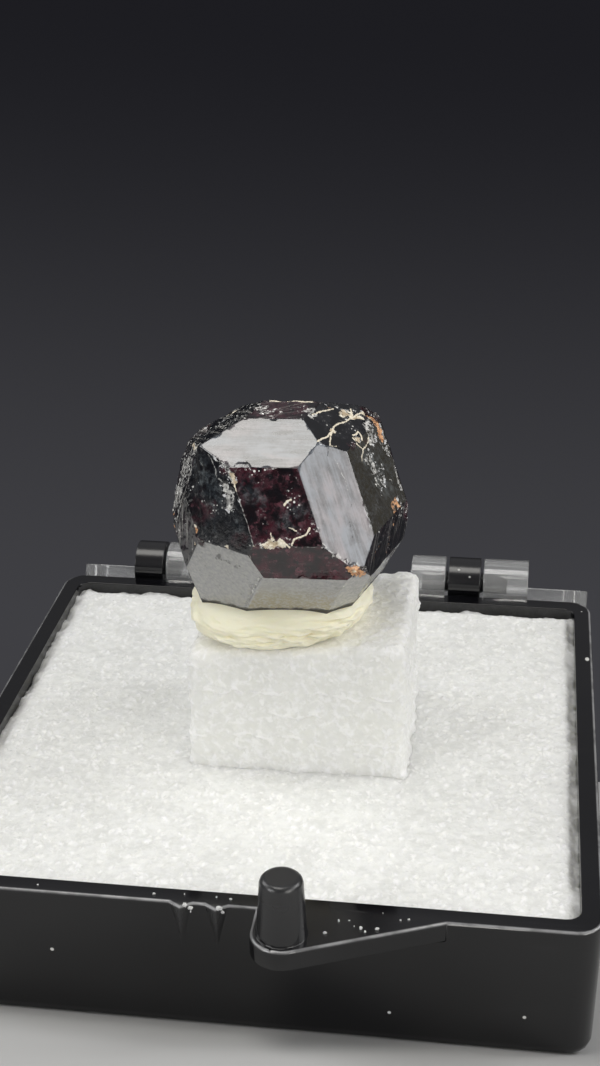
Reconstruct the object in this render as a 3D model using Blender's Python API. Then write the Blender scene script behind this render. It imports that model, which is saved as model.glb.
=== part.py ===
"""Andradite garnet crystal fixed in a small hinged specimen box.

The crystal sits in a ring of putty on a block of white foam, in a black tray
lined with foam. The clear lid is hinged to the back of the tray. It is folded
right round, under the tray, and stands open side up on its flat top: the tray
leans on the hinge and on its own front edge, like a picture on an easel.

Metres, +Z up, +X right, +Y towards the back. The origin is the middle of the
lid's flat top face, where it stands on the table. Everything that belongs to
the tray is modelled level, in the tray's own frame, whose origin is the middle
of the rim's upper plane, and is then tilted by one empty.
"""

import math

import bmesh
import bpy
from mathutils import Euler, Matrix, Vector, noise

MM = 0.001
GAP = 0.30 * MM                # between pieces that touch

# Box: 1 1/4 inch square, 1 1/8 inch high when it is shut
BOX_SIDE = 31.75 * MM
TRAY_HEIGHT = 7.0 * MM
LID_HEIGHT = 21.4 * MM
RIM_GAP = 0.20 * MM            # between the two rims when the lid is shut
WALL = 0.95 * MM
FLOOR_THICK = 1.0 * MM
LID_TOP_THICK = 1.1 * MM
CORNER_RADIUS = 1.2 * MM
INNER_CORNER_RADIUS = 0.7 * MM
FOOT_RADIUS = 0.6 * MM         # rounding round the tray's floor and the lid's top
DRAFT = 0.13 * MM              # how far the moulded walls lean in

# Hinge
HINGE_BACK = 1.70 * MM         # axis behind the outer face of the back wall
KNUCKLE_RADIUS = 1.50 * MM
PIN_RADIUS = 0.60 * MM
PIN_HOLE_RADIUS = 0.69 * MM
LONG_PIN = 1.60 * MM
SHORT_PIN = 0.96 * MM          # two of these share one lid knuckle
KNUCKLE_SIDES = 28
PIN_SIDES = 20
WEB_BELOW = -1.44 * MM         # lower and upper side of the webs, from the axis
WEB_ABOVE = -0.30 * MM
# Each tray knuckle: its two ends along X, then how far its pin sticks out of each
TRAY_KNUCKLES = (
    (-11.80 * MM, -10.05 * MM, 0.0, SHORT_PIN),
    (-7.60 * MM, -5.90 * MM, SHORT_PIN, 0.0),
    (7.40 * MM, 9.30 * MM, LONG_PIN, LONG_PIN),
)
LID_KNUCKLES = ((-9.85 * MM, -7.80 * MM), (5.15 * MM, 7.20 * MM), (9.50 * MM, 12.15 * MM))

# Catch at the front: a post on a ledge, and a tab with a hole on the lid
POST_AT = (2.10 * MM, -17.40 * MM)
POST_HEIGHT = 2.90 * MM
POST_FOOT_RADIUS = 1.14 * MM
POST_TOP_RADIUS = 0.94 * MM
POST_ROUNDING = 0.30 * MM
LEDGE_THICK = 0.95 * MM
LEDGE_NOSE_RADIUS = 1.40 * MM
LEDGE_END_X = 9.10 * MM        # where the ledge runs out into the rim
TAB_THICK = 1.0 * MM
TAB_NOSE_RADIUS = 2.30 * MM
TAB_HOLE_RADIUS = 1.38 * MM

# Two small wedge ribs under the rim, left of the post
RIB_CENTRES_X = (-2.62 * MM, -1.02 * MM)
RIB_HALF_WIDTH = 0.56 * MM
RIB_PROUD = 0.36 * MM
RIB_LENGTH = 2.15 * MM
RIB_POINT_RADIUS = 0.04 * MM

# Foam
LINER_TOP = -0.40 * MM         # below the rim
BLOCK_MIN = (-4.5 * MM, -3.9 * MM)
BLOCK_MAX = (6.3 * MM, 4.9 * MM)
BLOCK_TOP = 6.30 * MM          # above the rim, at the middle of the box
BLOCK_TOP_SLOPE = 0.10         # the torn top rises to the right
BLOCK_ROUGHNESS = 0.16 * MM
BLOCK_CUTS = 9                 # along each edge of the block
BLOCK_CORNER_DROP = 1.6        # how steeply the torn edges fall away

# Putty
PUTTY_CENTRE = (-0.25 * MM, -0.10 * MM, 7.35 * MM)
PUTTY_RADII = (4.75 * MM, 4.35 * MM, 1.45 * MM)
PUTTY_FOLD = 0.16 * MM
PUTTY_LUMP = 0.45 * MM
PUTTY_SQUARENESS = 0.45        # 0 is an ellipse seen from above, 1 a full ring

# Garnet: distance of each face from the crystal's middle, in mm, by its Miller
# indices. Rhombic dodecahedron {110} and trapezohedron {211} together. Faces
# that are not named here lie at COMMON_DISTANCE.
COMMON_DISTANCE = 5.45
FACE_DISTANCES = {
    (2, 1, 1): 5.55, (1, 2, 1): 5.45, (2, 1, -1): 5.60, (1, 2, -1): 5.80,
    (1, 1, 2): 5.50, (1, 1, -2): 5.35, (-1, 2, -1): 5.85, (-1, 2, 1): 5.65,
    (2, -1, 1): 5.38, (2, -1, -1): 5.50, (-1, 1, 2): 5.65, (1, -1, 2): 5.05,
    (-1, -1, 2): 5.05, (-2, 1, -1): 5.35, (-2, 1, 1): 5.60, (-1, 1, -2): 5.50,
    (1, -2, 1): 5.30, (1, -1, -2): 5.50, (1, -2, -1): 5.50,
    (1, 1, 0): 5.50, (0, 1, -1): 5.40, (0, 1, 1): 5.30, (1, 0, 1): 5.52,
    (1, 0, -1): 5.68, (1, -1, 0): 5.85, (-1, 1, 0): 5.45, (-1, 0, -1): 4.70,
}
GARNET_CENTRE = (0.0, 0.5 * MM, 12.0 * MM)
GARNET_TURN = tuple(math.radians(a) for a in (-3.0, -42.3, -140.3))

# Stepped growth plates on the rough left side and back: how much smaller each
# plate is than the one below, how far it rises, and how many there are
GROWTH_PLATES = {
    (2, -1, -1): (0.80, 0.07 * MM, 2),
    (2, -1, 1): (0.82, 0.06 * MM, 2),
    (1, -1, 0): (0.78, 0.09 * MM, 3),
    (1, -2, -1): (0.80, 0.08 * MM, 3),
    (-1, -2, -1): (0.78, 0.08 * MM, 3),
    (-1, -1, 0): (0.80, 0.07 * MM, 3),
    (-2, -1, 1): (0.78, 0.08 * MM, 2),
}

# Chips and pits, in the tray's frame: centre and size of the piece knocked out
CHIPS = (
    ((4.75, -5.20, 11.20), (0.85, 0.70, 0.75)),      # lower right corner
    ((0.35, -5.85, 12.75), (0.95, 0.66, 0.40)),      # middle of the front edge
    ((4.45, 2.05, 17.10), (0.95, 1.30, 1.00)),       # upper right corner
    ((3.75, -1.55, 16.55), (0.60, 0.95, 0.62)),      # right shoulder
    ((-3.85, -4.60, 12.05), (0.62, 0.62, 0.55)),     # left corner
    ((-4.60, 0.95, 15.75), (0.70, 0.95, 0.50)),      # upper left corner
    ((6.25, 0.55, 12.35), (0.55, 0.85, 0.75)),       # right corner
    ((1.90, 5.95, 16.10), (1.50, 1.35, 0.90)),       # back of the top
)

# Angle at which the folded lid lets the tray's front edge meet the table
ARM_BACK = BOX_SIDE - DRAFT - FOOT_RADIUS + HINGE_BACK
ARM_DOWN = TRAY_HEIGHT - FOOT_RADIUS + RIM_GAP / 2
HINGE_HEIGHT = LID_HEIGHT + RIM_GAP / 2
TILT = (math.asin((HINGE_HEIGHT - FOOT_RADIUS) / math.hypot(ARM_BACK, ARM_DOWN))
        - math.atan2(ARM_DOWN, ARM_BACK))

HINGE_IN_TRAY = Vector((0, BOX_SIDE / 2 + HINGE_BACK, RIM_GAP / 2))
HINGE_IN_WORLD = Vector((0, -BOX_SIDE / 2 - HINGE_BACK, HINGE_HEIGHT))

MATERIALS = {
    "black_plastic": ((0.012, 0.012, 0.014, 1.0), 0.12, 0.0),
    "clear_plastic": ((0.90, 0.92, 0.93, 0.30), 0.04, 0.0),
    "white_foam": ((0.86, 0.87, 0.86, 1.0), 0.60, 0.0),
    "cream_putty": ((0.80, 0.76, 0.62, 1.0), 0.55, 0.0),
    "garnet": ((0.030, 0.008, 0.010, 1.0), 0.08, 0.0),
}


def clear_scene():
    for obj in list(bpy.data.objects):
        bpy.data.objects.remove(obj, do_unlink=True)


def make_collection(name):
    collection = bpy.data.collections.new(name)
    bpy.context.scene.collection.children.link(collection)
    return collection


def make_material(name):
    colour, roughness, metallic = MATERIALS[name]
    material = bpy.data.materials.new(name)
    material.use_nodes = True
    shader = material.node_tree.nodes["Principled BSDF"]
    shader.inputs["Base Color"].default_value = colour
    shader.inputs["Roughness"].default_value = roughness
    shader.inputs["Metallic"].default_value = metallic
    shader.inputs["Alpha"].default_value = colour[3]
    return material


def make_object(name, bm, collection, parent=None):
    """Turns a bmesh into an object of the given collection and frees it."""
    bmesh.ops.recalc_face_normals(bm, faces=bm.faces)
    mesh = bpy.data.meshes.new(name)
    bm.to_mesh(mesh)
    bm.free()
    obj = bpy.data.objects.new(name, mesh)
    collection.objects.link(obj)
    obj.parent = parent
    return obj


def make_cutter(name, bm, cutters, parent=None):
    obj = make_object(name, bm, cutters, parent)
    obj.hide_render = True
    obj.display_type = "WIRE"
    return obj


def boolean(obj, cutter, operation):
    modifier = obj.modifiers.new(cutter.name, "BOOLEAN")
    modifier.operation = operation
    modifier.solver = "EXACT"
    modifier.object = cutter


def smooth_round_faces(obj, angle=35):
    obj.data.shade_smooth()
    obj.data.set_sharp_from_angle(angle=math.radians(angle))


def box_bmesh(low, high):
    """A plain box between two corners."""
    low, high = Vector(low), Vector(high)
    bm = bmesh.new()
    bmesh.ops.create_cube(bm, size=1.0)
    bmesh.ops.scale(bm, vec=high - low, verts=bm.verts)
    bmesh.ops.translate(bm, vec=(low + high) / 2, verts=bm.verts)
    return bm


def moulded_box_bmesh(half, bottom, top, corner_radius, foot_radius, draft):
    """A square box, its corners and its lower edge rounded, narrower at the bottom."""
    bm = box_bmesh((-half, -half, bottom), (half, half, top))
    for vert in bm.verts:
        if vert.co.z < (bottom + top) / 2:
            vert.co.x -= math.copysign(draft, vert.co.x)
            vert.co.y -= math.copysign(draft, vert.co.y)
    upright = [e for e in bm.edges if abs(e.verts[0].co.z - e.verts[1].co.z) > (top - bottom) / 2]
    bmesh.ops.bevel(bm, geom=upright, offset=corner_radius, segments=5, profile=0.5, affect="EDGES")
    if foot_radius > 0:
        low = [e for e in bm.edges if max(v.co.z for v in e.verts) < bottom + 1e-7]
        bmesh.ops.bevel(bm, geom=low, offset=foot_radius, segments=3, profile=0.5, affect="EDGES")
    return bm


def rod_along_x_bmesh(x_from, x_to, radius, sides=KNUCKLE_SIDES):
    bm = bmesh.new()
    bmesh.ops.create_cone(bm, cap_ends=True, segments=sides, radius1=radius, radius2=radius,
                          depth=x_to - x_from, matrix=Matrix.Rotation(math.pi / 2, 4, "Y"))
    bmesh.ops.translate(bm, vec=((x_from + x_to) / 2, 0, 0), verts=bm.verts)
    return bm


def plate_bmesh(outline, low_z, high_z):
    """A flat outline in X and Y, given thickness."""
    bm = bmesh.new()
    face = bm.faces.new([bm.verts.new((x, y, low_z)) for x, y in outline])
    swept = bmesh.ops.extrude_face_region(bm, geom=[face])
    verts = [v for v in swept["geom"] if isinstance(v, bmesh.types.BMVert)]
    bmesh.ops.translate(bm, vec=(0, 0, high_z - low_z), verts=verts)
    return bm


def arc(centre, radius, start, end, steps):
    """Points on a circle, angles in degrees."""
    angles = [math.radians(start + (end - start) * i / steps) for i in range(steps + 1)]
    return [(centre[0] + radius * math.cos(a), centre[1] + radius * math.sin(a)) for a in angles]


def ledge_outline():
    """Round nose about the post, then a straight edge that runs out into the rim."""
    wall_face = -BOX_SIDE / 2
    inside = wall_face + WALL / 2
    away = Vector((LEDGE_END_X - POST_AT[0], wall_face - POST_AT[1]))
    tangent = math.degrees(math.atan2(away.y, away.x) - math.acos(LEDGE_NOSE_RADIUS / away.length))
    points = [(POST_AT[0] - LEDGE_NOSE_RADIUS, inside)]
    points += arc(POST_AT, LEDGE_NOSE_RADIUS, -180, tangent, 14)
    points += [(LEDGE_END_X, wall_face), (LEDGE_END_X, inside)]
    return points


def make_post_bmesh():
    sunk = LEDGE_THICK / 2
    bm = bmesh.new()
    bmesh.ops.create_cone(bm, cap_ends=True, segments=32, radius1=POST_FOOT_RADIUS,
                          radius2=POST_TOP_RADIUS, depth=POST_HEIGHT + sunk)
    bmesh.ops.translate(bm, vec=(POST_AT[0], POST_AT[1], (POST_HEIGHT - sunk) / 2), verts=bm.verts)
    top = [e for e in bm.edges if min(v.co.z for v in e.verts) > POST_HEIGHT - 1e-6]
    bmesh.ops.bevel(bm, geom=top, offset=POST_ROUNDING, segments=3, profile=0.5, affect="EDGES")
    return bm


def make_rib_bmesh(centre_x):
    """A four-sided spike let into the front wall, point down."""
    bm = bmesh.new()
    bmesh.ops.create_cone(bm, cap_ends=True, segments=4, radius1=RIB_POINT_RADIUS,
                          radius2=RIB_HALF_WIDTH, depth=RIB_LENGTH)
    bmesh.ops.scale(bm, vec=(1, (RIB_PROUD + WALL / 4) / RIB_HALF_WIDTH, 1), verts=bm.verts)
    bmesh.ops.translate(bm, vec=(centre_x, -BOX_SIDE / 2 + WALL / 4, -RIB_LENGTH / 2), verts=bm.verts)
    return bm


def web_bmesh(x_from, x_to, wall_side):
    """The web that ties a knuckle to its wall. wall_side is the wall's Y from the axis."""
    return box_bmesh((x_from, min(wall_side, 0), WEB_BELOW), (x_to, max(wall_side, 0), WEB_ABOVE))


def make_tray(parts, cutters, frame):
    half = BOX_SIDE / 2
    tray = make_object("tray", moulded_box_bmesh(half, -TRAY_HEIGHT, 0, CORNER_RADIUS,
                                                 FOOT_RADIUS, DRAFT), parts, frame)
    cavity = make_cutter("tray_cavity", moulded_box_bmesh(
        half - WALL, -TRAY_HEIGHT + FLOOR_THICK, 2 * MM, INNER_CORNER_RADIUS, 0, DRAFT), cutters, frame)
    boolean(tray, cavity, "DIFFERENCE")
    ledge = make_cutter("ledge", plate_bmesh(ledge_outline(), -LEDGE_THICK, 0), cutters, frame)
    boolean(tray, ledge, "UNION")
    boolean(tray, make_cutter("post", make_post_bmesh(), cutters, frame), "UNION")
    for number, centre_x in enumerate(RIB_CENTRES_X):
        boolean(tray, make_cutter(f"rib_{number}", make_rib_bmesh(centre_x), cutters, frame), "UNION")

    wall_side = -HINGE_BACK - WALL / 2
    for number, (x_from, x_to, pin_left, pin_right) in enumerate(TRAY_KNUCKLES):
        knuckle = make_cutter(f"tray_knuckle_{number}",
                              rod_along_x_bmesh(x_from, x_to, KNUCKLE_RADIUS), cutters, frame)
        web = make_cutter(f"tray_web_{number}", web_bmesh(x_from, x_to, wall_side), cutters, frame)
        pin = make_cutter(f"pin_{number}", rod_along_x_bmesh(
            x_from - pin_left, x_to + pin_right, PIN_RADIUS, PIN_SIDES), cutters, frame)
        for piece in (knuckle, web, pin):
            piece.location = HINGE_IN_TRAY
            boolean(tray, piece, "UNION")
    smooth_round_faces(tray)
    return tray


def make_lid(parts, cutters):
    """Modelled about the hinge axis, folded right round: open side up."""
    half = BOX_SIDE / 2
    centre = Vector((0, HINGE_BACK + half, 0))
    rim = -RIM_GAP / 2
    shell = moulded_box_bmesh(half, rim - LID_HEIGHT, rim, CORNER_RADIUS, FOOT_RADIUS, DRAFT)
    bmesh.ops.translate(shell, vec=centre, verts=shell.verts)
    lid = make_object("lid", shell, parts)
    lid.location = HINGE_IN_WORLD

    hollow = moulded_box_bmesh(half - WALL, rim - LID_HEIGHT + LID_TOP_THICK, 2 * MM,
                               INNER_CORNER_RADIUS, 0, DRAFT)
    bmesh.ops.translate(hollow, vec=centre, verts=hollow.verts)
    boolean(lid, make_cutter("lid_hollow", hollow, cutters, lid), "DIFFERENCE")

    hole_at = (POST_AT[0], HINGE_IN_TRAY.y - POST_AT[1])
    outer_face = HINGE_BACK + BOX_SIDE
    outline = [(hole_at[0] + TAB_NOSE_RADIUS, outer_face - WALL / 2)]
    outline += arc(hole_at, TAB_NOSE_RADIUS, 0, 180, 20)
    outline += [(hole_at[0] - TAB_NOSE_RADIUS, outer_face - WALL / 2)]
    tab = make_cutter("tab", plate_bmesh(outline, rim - TAB_THICK, rim), cutters, lid)
    boolean(lid, tab, "UNION")
    hole = bmesh.new()
    bmesh.ops.create_cone(hole, cap_ends=True, segments=32, radius1=TAB_HOLE_RADIUS,
                          radius2=TAB_HOLE_RADIUS, depth=4 * MM)
    bmesh.ops.translate(hole, vec=(hole_at[0], hole_at[1], 0), verts=hole.verts)
    boolean(lid, make_cutter("tab_hole", hole, cutters, lid), "DIFFERENCE")

    wall_side = HINGE_BACK + WALL / 2
    for number, (x_from, x_to) in enumerate(LID_KNUCKLES):
        knuckle = make_cutter(f"lid_knuckle_{number}",
                              rod_along_x_bmesh(x_from, x_to, KNUCKLE_RADIUS), cutters, lid)
        web = make_cutter(f"lid_web_{number}", web_bmesh(x_from, x_to, wall_side), cutters, lid)
        boolean(lid, knuckle, "UNION")
        boolean(lid, web, "UNION")
    for number, (x_from, x_to) in enumerate(LID_KNUCKLES):
        hole = make_cutter(f"pin_hole_{number}", rod_along_x_bmesh(
            x_from - MM, x_to + MM, PIN_HOLE_RADIUS), cutters, lid)
        boolean(lid, hole, "DIFFERENCE")
    smooth_round_faces(lid)
    return lid


def make_foam_liner(parts, frame):
    half = BOX_SIDE / 2 - WALL - GAP
    bm = moulded_box_bmesh(half, -TRAY_HEIGHT + FLOOR_THICK + GAP, LINER_TOP, INNER_CORNER_RADIUS,
                           0, DRAFT)
    return make_object("foam_liner", bm, parts, frame)


def block_top(x):
    return BLOCK_TOP + BLOCK_TOP_SLOPE * x


def make_foam_block(parts, frame):
    """Cut from a sheet and torn at the top: straight sides, soft uneven edges."""
    base = LINER_TOP + GAP
    bm = box_bmesh((*BLOCK_MIN, base), (*BLOCK_MAX, BLOCK_TOP))
    bmesh.ops.subdivide_edges(bm, edges=bm.edges, cuts=BLOCK_CUTS, use_grid_fill=True)
    centre_x = (BLOCK_MIN[0] + BLOCK_MAX[0]) / 2
    centre_y = (BLOCK_MIN[1] + BLOCK_MAX[1]) / 2
    for vert in bm.verts:
        height = (vert.co.z - base) / (BLOCK_TOP - base)
        if height < 1e-4:
            continue
        vert.co.z += height * (block_top(vert.co.x) - BLOCK_TOP)
        lump = noise.noise_vector(vert.co * 0.8 / MM) * BLOCK_ROUGHNESS
        lump.z = -abs(lump.z)
        vert.co += lump
        edge_x = abs(vert.co.x - centre_x) / ((BLOCK_MAX[0] - BLOCK_MIN[0]) / 2)
        edge_y = abs(vert.co.y - centre_y) / ((BLOCK_MAX[1] - BLOCK_MIN[1]) / 2)
        corner = max(0, height + max(edge_x, edge_y) - 1.85)
        vert.co.z -= corner * BLOCK_CORNER_DROP * MM
    return make_object("foam_block", bm, parts, frame)


def faces_of_form(*numbers):
    """Every face of a crystal form: all orders and signs of its three indices."""
    found = set()
    a, b, c = numbers
    for order in ((a, b, c), (b, c, a), (c, a, b), (a, c, b), (c, b, a), (b, a, c)):
        for signs in range(8):
            face = tuple(n * (-1 if signs >> i & 1 else 1) for i, n in enumerate(order))
            found.add(face)
    return sorted(found)


def garnet_bmesh(grown=0.0):
    """A block cut by every face of the two forms, each one moved out by grown."""
    bm = bmesh.new()
    bmesh.ops.create_cube(bm, size=20 * MM)
    for face in faces_of_form(1, 1, 0) + faces_of_form(2, 1, 1):
        normal = Vector(face).normalized()
        distance = FACE_DISTANCES.get(face, COMMON_DISTANCE) * MM + grown
        geom = bm.verts[:] + bm.edges[:] + bm.faces[:]
        bmesh.ops.bisect_plane(bm, geom=geom, dist=1e-7, plane_co=normal * distance,
                               plane_no=normal, clear_outer=True)
        open_edges = [e for e in bm.edges if e.is_boundary]
        if open_edges:
            bmesh.ops.holes_fill(bm, edges=open_edges, sides=0)
    bmesh.ops.remove_doubles(bm, verts=bm.verts, dist=0.02 * MM)
    return bm


def garnet_pose():
    return Matrix.Translation(GARNET_CENTRE) @ Euler(GARNET_TURN, "XYZ").to_matrix().to_4x4()


def add_growth_plates(bm):
    """Raises each named face in a few steps, one smaller plate on another."""
    for index, (shrink, rise, plates) in GROWTH_PLATES.items():
        normal = Vector(index).normalized()
        face = max(bm.faces, key=lambda f: f.normal.dot(normal))
        for _ in range(plates):
            face = bmesh.ops.extrude_discrete_faces(bm, faces=[face])["faces"][0]
            middle = Matrix.Translation(-face.calc_center_median())
            bmesh.ops.scale(bm, vec=(shrink, shrink, shrink), space=middle, verts=face.verts)
            face = bmesh.ops.extrude_discrete_faces(bm, faces=[face])["faces"][0]
            bmesh.ops.translate(bm, vec=normal * rise, verts=face.verts)


def chip_bmesh(centre, size, seed):
    """A rough lump, which leaves a broken hollow when it is taken away."""
    bm = bmesh.new()
    bmesh.ops.create_icosphere(bm, subdivisions=2, radius=1.0)
    for vert in bm.verts:
        shake = noise.noise(vert.co * 1.7 + Vector((seed * 7.3, seed * 3.1, seed)))
        vert.co *= 1.0 + 0.30 * shake
    bmesh.ops.scale(bm, vec=Vector(size) * MM, verts=bm.verts)
    bmesh.ops.translate(bm, vec=Vector(centre) * MM, verts=bm.verts)
    return bm


def make_garnet(parts, cutters, frame):
    bm = garnet_bmesh()
    add_growth_plates(bm)
    bmesh.ops.transform(bm, matrix=garnet_pose(), verts=bm.verts)
    garnet = make_object("garnet_crystal", bm, parts, frame)
    for number, (centre, size) in enumerate(CHIPS):
        chip = make_cutter(f"chip_{number}", chip_bmesh(centre, size, number + 1), cutters, frame)
        boolean(garnet, chip, "DIFFERENCE")
    return garnet


def make_putty(parts, cutters, frame):
    """A pressed pat of putty with folds round its side, hollowed by the crystal."""
    centre = Vector(PUTTY_CENTRE)
    bm = bmesh.new()
    bmesh.ops.create_uvsphere(bm, u_segments=48, v_segments=18, radius=1.0)
    for vert in bm.verts:
        around = math.atan2(vert.co.y, vert.co.x)
        flat = max(math.hypot(vert.co.x, vert.co.y), 1e-6)
        squared = flat ** -PUTTY_SQUARENESS
        side = flat ** 4
        fold = math.sin(vert.co.z * 9 + 1.4 * math.sin(around * 3 + 0.6)) * side
        lump = noise.noise(Vector((math.cos(around), math.sin(around), vert.co.z)) * 1.8)
        out = 1 + (PUTTY_FOLD * fold + PUTTY_LUMP * lump * side) / PUTTY_RADII[0]
        rise = BLOCK_TOP_SLOPE * vert.co.x * PUTTY_RADII[0]
        vert.co = Vector((vert.co.x * squared * out * PUTTY_RADII[0],
                          vert.co.y * squared * out * PUTTY_RADII[1],
                          vert.co.z * PUTTY_RADII[2] + rise))
    bmesh.ops.translate(bm, vec=centre, verts=bm.verts)
    putty = make_object("mounting_putty", bm, parts, frame)

    under = box_bmesh((-9 * MM, -9 * MM, -6 * MM), (9 * MM, 9 * MM, 0))
    for vert in under.verts:
        if vert.co.z > -MM:
            vert.co.z += block_top(vert.co.x) + GAP
    boolean(putty, make_cutter("putty_bed", under, cutters, frame), "DIFFERENCE")
    seat = garnet_bmesh(GAP)
    bmesh.ops.transform(seat, matrix=garnet_pose(), verts=seat.verts)
    boolean(putty, make_cutter("putty_seat", seat, cutters, frame), "DIFFERENCE")
    smooth_round_faces(putty, 40)
    return putty


def make_tray_frame(parts):
    frame = bpy.data.objects.new("tray_frame", None)
    parts.objects.link(frame)
    tilt = Matrix.Rotation(TILT, 4, "X")
    frame.matrix_world = Matrix.Translation(HINGE_IN_WORLD - tilt @ HINGE_IN_TRAY) @ tilt
    return frame


def main():
    clear_scene()
    parts = make_collection("garnet_specimen_box")
    cutters = make_collection("cutters")
    frame = make_tray_frame(parts)
    finishes = {
        make_tray(parts, cutters, frame): "black_plastic",
        make_lid(parts, cutters): "clear_plastic",
        make_foam_liner(parts, frame): "white_foam",
        make_foam_block(parts, frame): "white_foam",
        make_putty(parts, cutters, frame): "cream_putty",
        make_garnet(parts, cutters, frame): "garnet",
    }
    for obj, finish in finishes.items():
        material = bpy.data.materials.get(finish) or make_material(finish)
        obj.data.materials.append(material)


main()
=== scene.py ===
"""Andradite garnet crystal in its hinged specimen box: the finish of every piece.

Everything that belongs to the tray is modelled level, in the tray's own frame
(origin in the middle of the rim's upper plane), and then set in place by TRAY.
Lengths are metres, except where a comment says that they are millimetres.
"""
import math

import bpy
import numpy as np
from mathutils import Euler, Matrix, Vector, noise


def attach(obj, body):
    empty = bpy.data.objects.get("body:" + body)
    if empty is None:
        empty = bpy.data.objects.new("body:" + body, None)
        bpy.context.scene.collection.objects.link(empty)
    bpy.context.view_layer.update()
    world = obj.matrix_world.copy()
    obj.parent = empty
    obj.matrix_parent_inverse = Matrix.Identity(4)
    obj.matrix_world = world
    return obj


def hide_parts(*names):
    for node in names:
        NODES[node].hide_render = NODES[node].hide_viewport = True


MM = 0.001

# The box
BOX_SIDE = 31.75 * MM
TRAY_HEIGHT = 7.0 * MM
LID_HEIGHT = 21.4 * MM
RIM_GAP = 0.20 * MM
WALL = 0.95 * MM
FLOOR_THICK = 1.0 * MM
FOOT_RADIUS = 0.6 * MM
DRAFT = 0.13 * MM              # how much narrower the tray is at its foot, each side
HINGE_BACK = 1.70 * MM

# How far the tray leans forward on its folded lid, and its place in the frame
ARM_BACK = BOX_SIDE - DRAFT - FOOT_RADIUS + HINGE_BACK
ARM_DOWN = TRAY_HEIGHT - FOOT_RADIUS + RIM_GAP / 2
HINGE_HEIGHT = LID_HEIGHT + RIM_GAP / 2
TILT = (math.asin((HINGE_HEIGHT - FOOT_RADIUS) / math.hypot(ARM_BACK, ARM_DOWN))
        - math.atan2(ARM_DOWN, ARM_BACK))
HINGE_IN_TRAY = Vector((0, BOX_SIDE / 2 + HINGE_BACK, RIM_GAP / 2))
HINGE_IN_WORLD = Vector((0, -BOX_SIDE / 2 - HINGE_BACK, HINGE_HEIGHT))
TURN = Matrix.Rotation(TILT, 4, "X")
TRAY = Matrix.Translation(HINGE_IN_WORLD - TURN @ HINGE_IN_TRAY) @ TURN

# Moulded edges
EDGE_ROUNDING = 0.05 * MM      # on every edge
RIM_ROUNDING = 0.17 * MM       # on the outer edge of the tray's rim and ledge
ROUNDING_STEPS = 4
SHARP_ANGLE = 32               # degrees: where two faces meet at more, the edge is rounded
SHARP_ANGLE_LARGE = 10         # the same between two large faces
LARGE_FACE = 3 * MM * MM
FLAT_ANGLE = 1.0               # degrees: edges flatter than this are dissolved
MERGE_DISTANCE = 0.002 * MM

# Places on the tray, in its own frame, and how satin each is; satin places are also lighter in
# colour, which on the post, ribs and knuckles is partly a painted sheen
LEDGE_MIDDLE = 3.0 * MM        # the ledge of the catch post, right of the middle
RIB_CENTRES = (-2.62 * MM, -1.02 * MM)      # the two wedge ribs under the rim
RIB_REACH = 0.45 * MM          # to each side of its centre
RIB_BACK = -15.8 * MM
RIB_FOOT = -1.8 * MM
RIB_WIDER = 1.65
RIB_LONGER = 1.60
SATIN_POST_BACK = -14.0 * MM
SATIN_LEDGE_BACK = -15.6 * MM
SATIN_RIBS_BACK = -15.9 * MM
SATIN_KNUCKLES_FRONT = 16.2 * MM
# above 1 on the ribs and high on the knuckles, so that their lighter colour paints a broad sheen
SATIN_LEDGE, SATIN_RIBS, SATIN_KNUCKLES = 0.45, 1.4, 0.7
# the band under the rim's outer edge where a highlight line is painted in a lighter colour
RIM_HIGHLIGHT_TOP, RIM_HIGHLIGHT_LOW = -0.008 * MM, -0.075 * MM      # the band under the rim's outer edge

# Foam
LINER_TOP = -0.40 * MM
FOAM_PLAY = 0.05 * MM          # between the liner and the tray
BLOCK_MIN = (-4.5 * MM, -3.9 * MM)
BLOCK_MAX = (6.3 * MM, 4.9 * MM)
BLOCK_TOP = 6.30 * MM
BLOCK_TOP_SLOPE = 0.10
BLOCK_ROUNDING = 0.45 * MM
BLOCK_SUNK = 0.10 * MM         # its foot in the liner's grains
LINER_CELL, BLOCK_CELL = 0.52 * MM, 0.75 * MM
LINER_RELIEF, BLOCK_RELIEF = 0.11 * MM, 0.13 * MM
SAWN, TORN, CRUMBLED = 0.12, 1.0, 0.3      # how torn the liner, block and crumbs are
ROWS = ((0.83, 41), (0.66, 42), (0.48, 43), (0.28, 44))    # height of each ragged row, and seed
ON_PLANE = 0.01 * MM           # what is closer to a plane than this lies on it
LINER_CUTS, BLOCK_CUTS = 15, 9
FOAM_SMOOTH_ANGLE = 60

# Putty
PUTTY_CENTRE = (-0.25 * MM, -0.10 * MM, 7.35 * MM)
PUTTY_RADII = (4.75 * MM, 4.35 * MM, 1.45 * MM)
PUTTY_SEGMENTS, PUTTY_RINGS = 256, 110

# Garnet: distance of each face from the crystal's middle, mm, by Miller indices
COMMON_DISTANCE = 5.45
FACE_DISTANCES = {
    (2, 1, 1): 5.55, (1, 2, 1): 5.45, (2, 1, -1): 5.60, (1, 2, -1): 5.80,
    (1, 1, 2): 5.50, (1, 1, -2): 5.35, (-1, 2, -1): 5.85, (-1, 2, 1): 5.65,
    (2, -1, 1): 5.38, (2, -1, -1): 5.50, (-1, 1, 2): 5.65, (1, -1, 2): 5.05,
    (-1, -1, 2): 5.05, (-2, 1, -1): 5.35, (-2, 1, 1): 5.60, (-1, 1, -2): 5.50,
    (1, -2, 1): 5.30, (1, -1, -2): 5.50, (1, -2, -1): 5.50,
    (1, 1, 0): 5.50, (0, 1, -1): 5.40, (0, 1, 1): 5.30, (1, 0, 1): 5.52,
    (1, 0, -1): 5.68, (1, -1, 0): 5.85, (-1, 1, 0): 5.45, (-1, 0, -1): 4.70,
}
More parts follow.
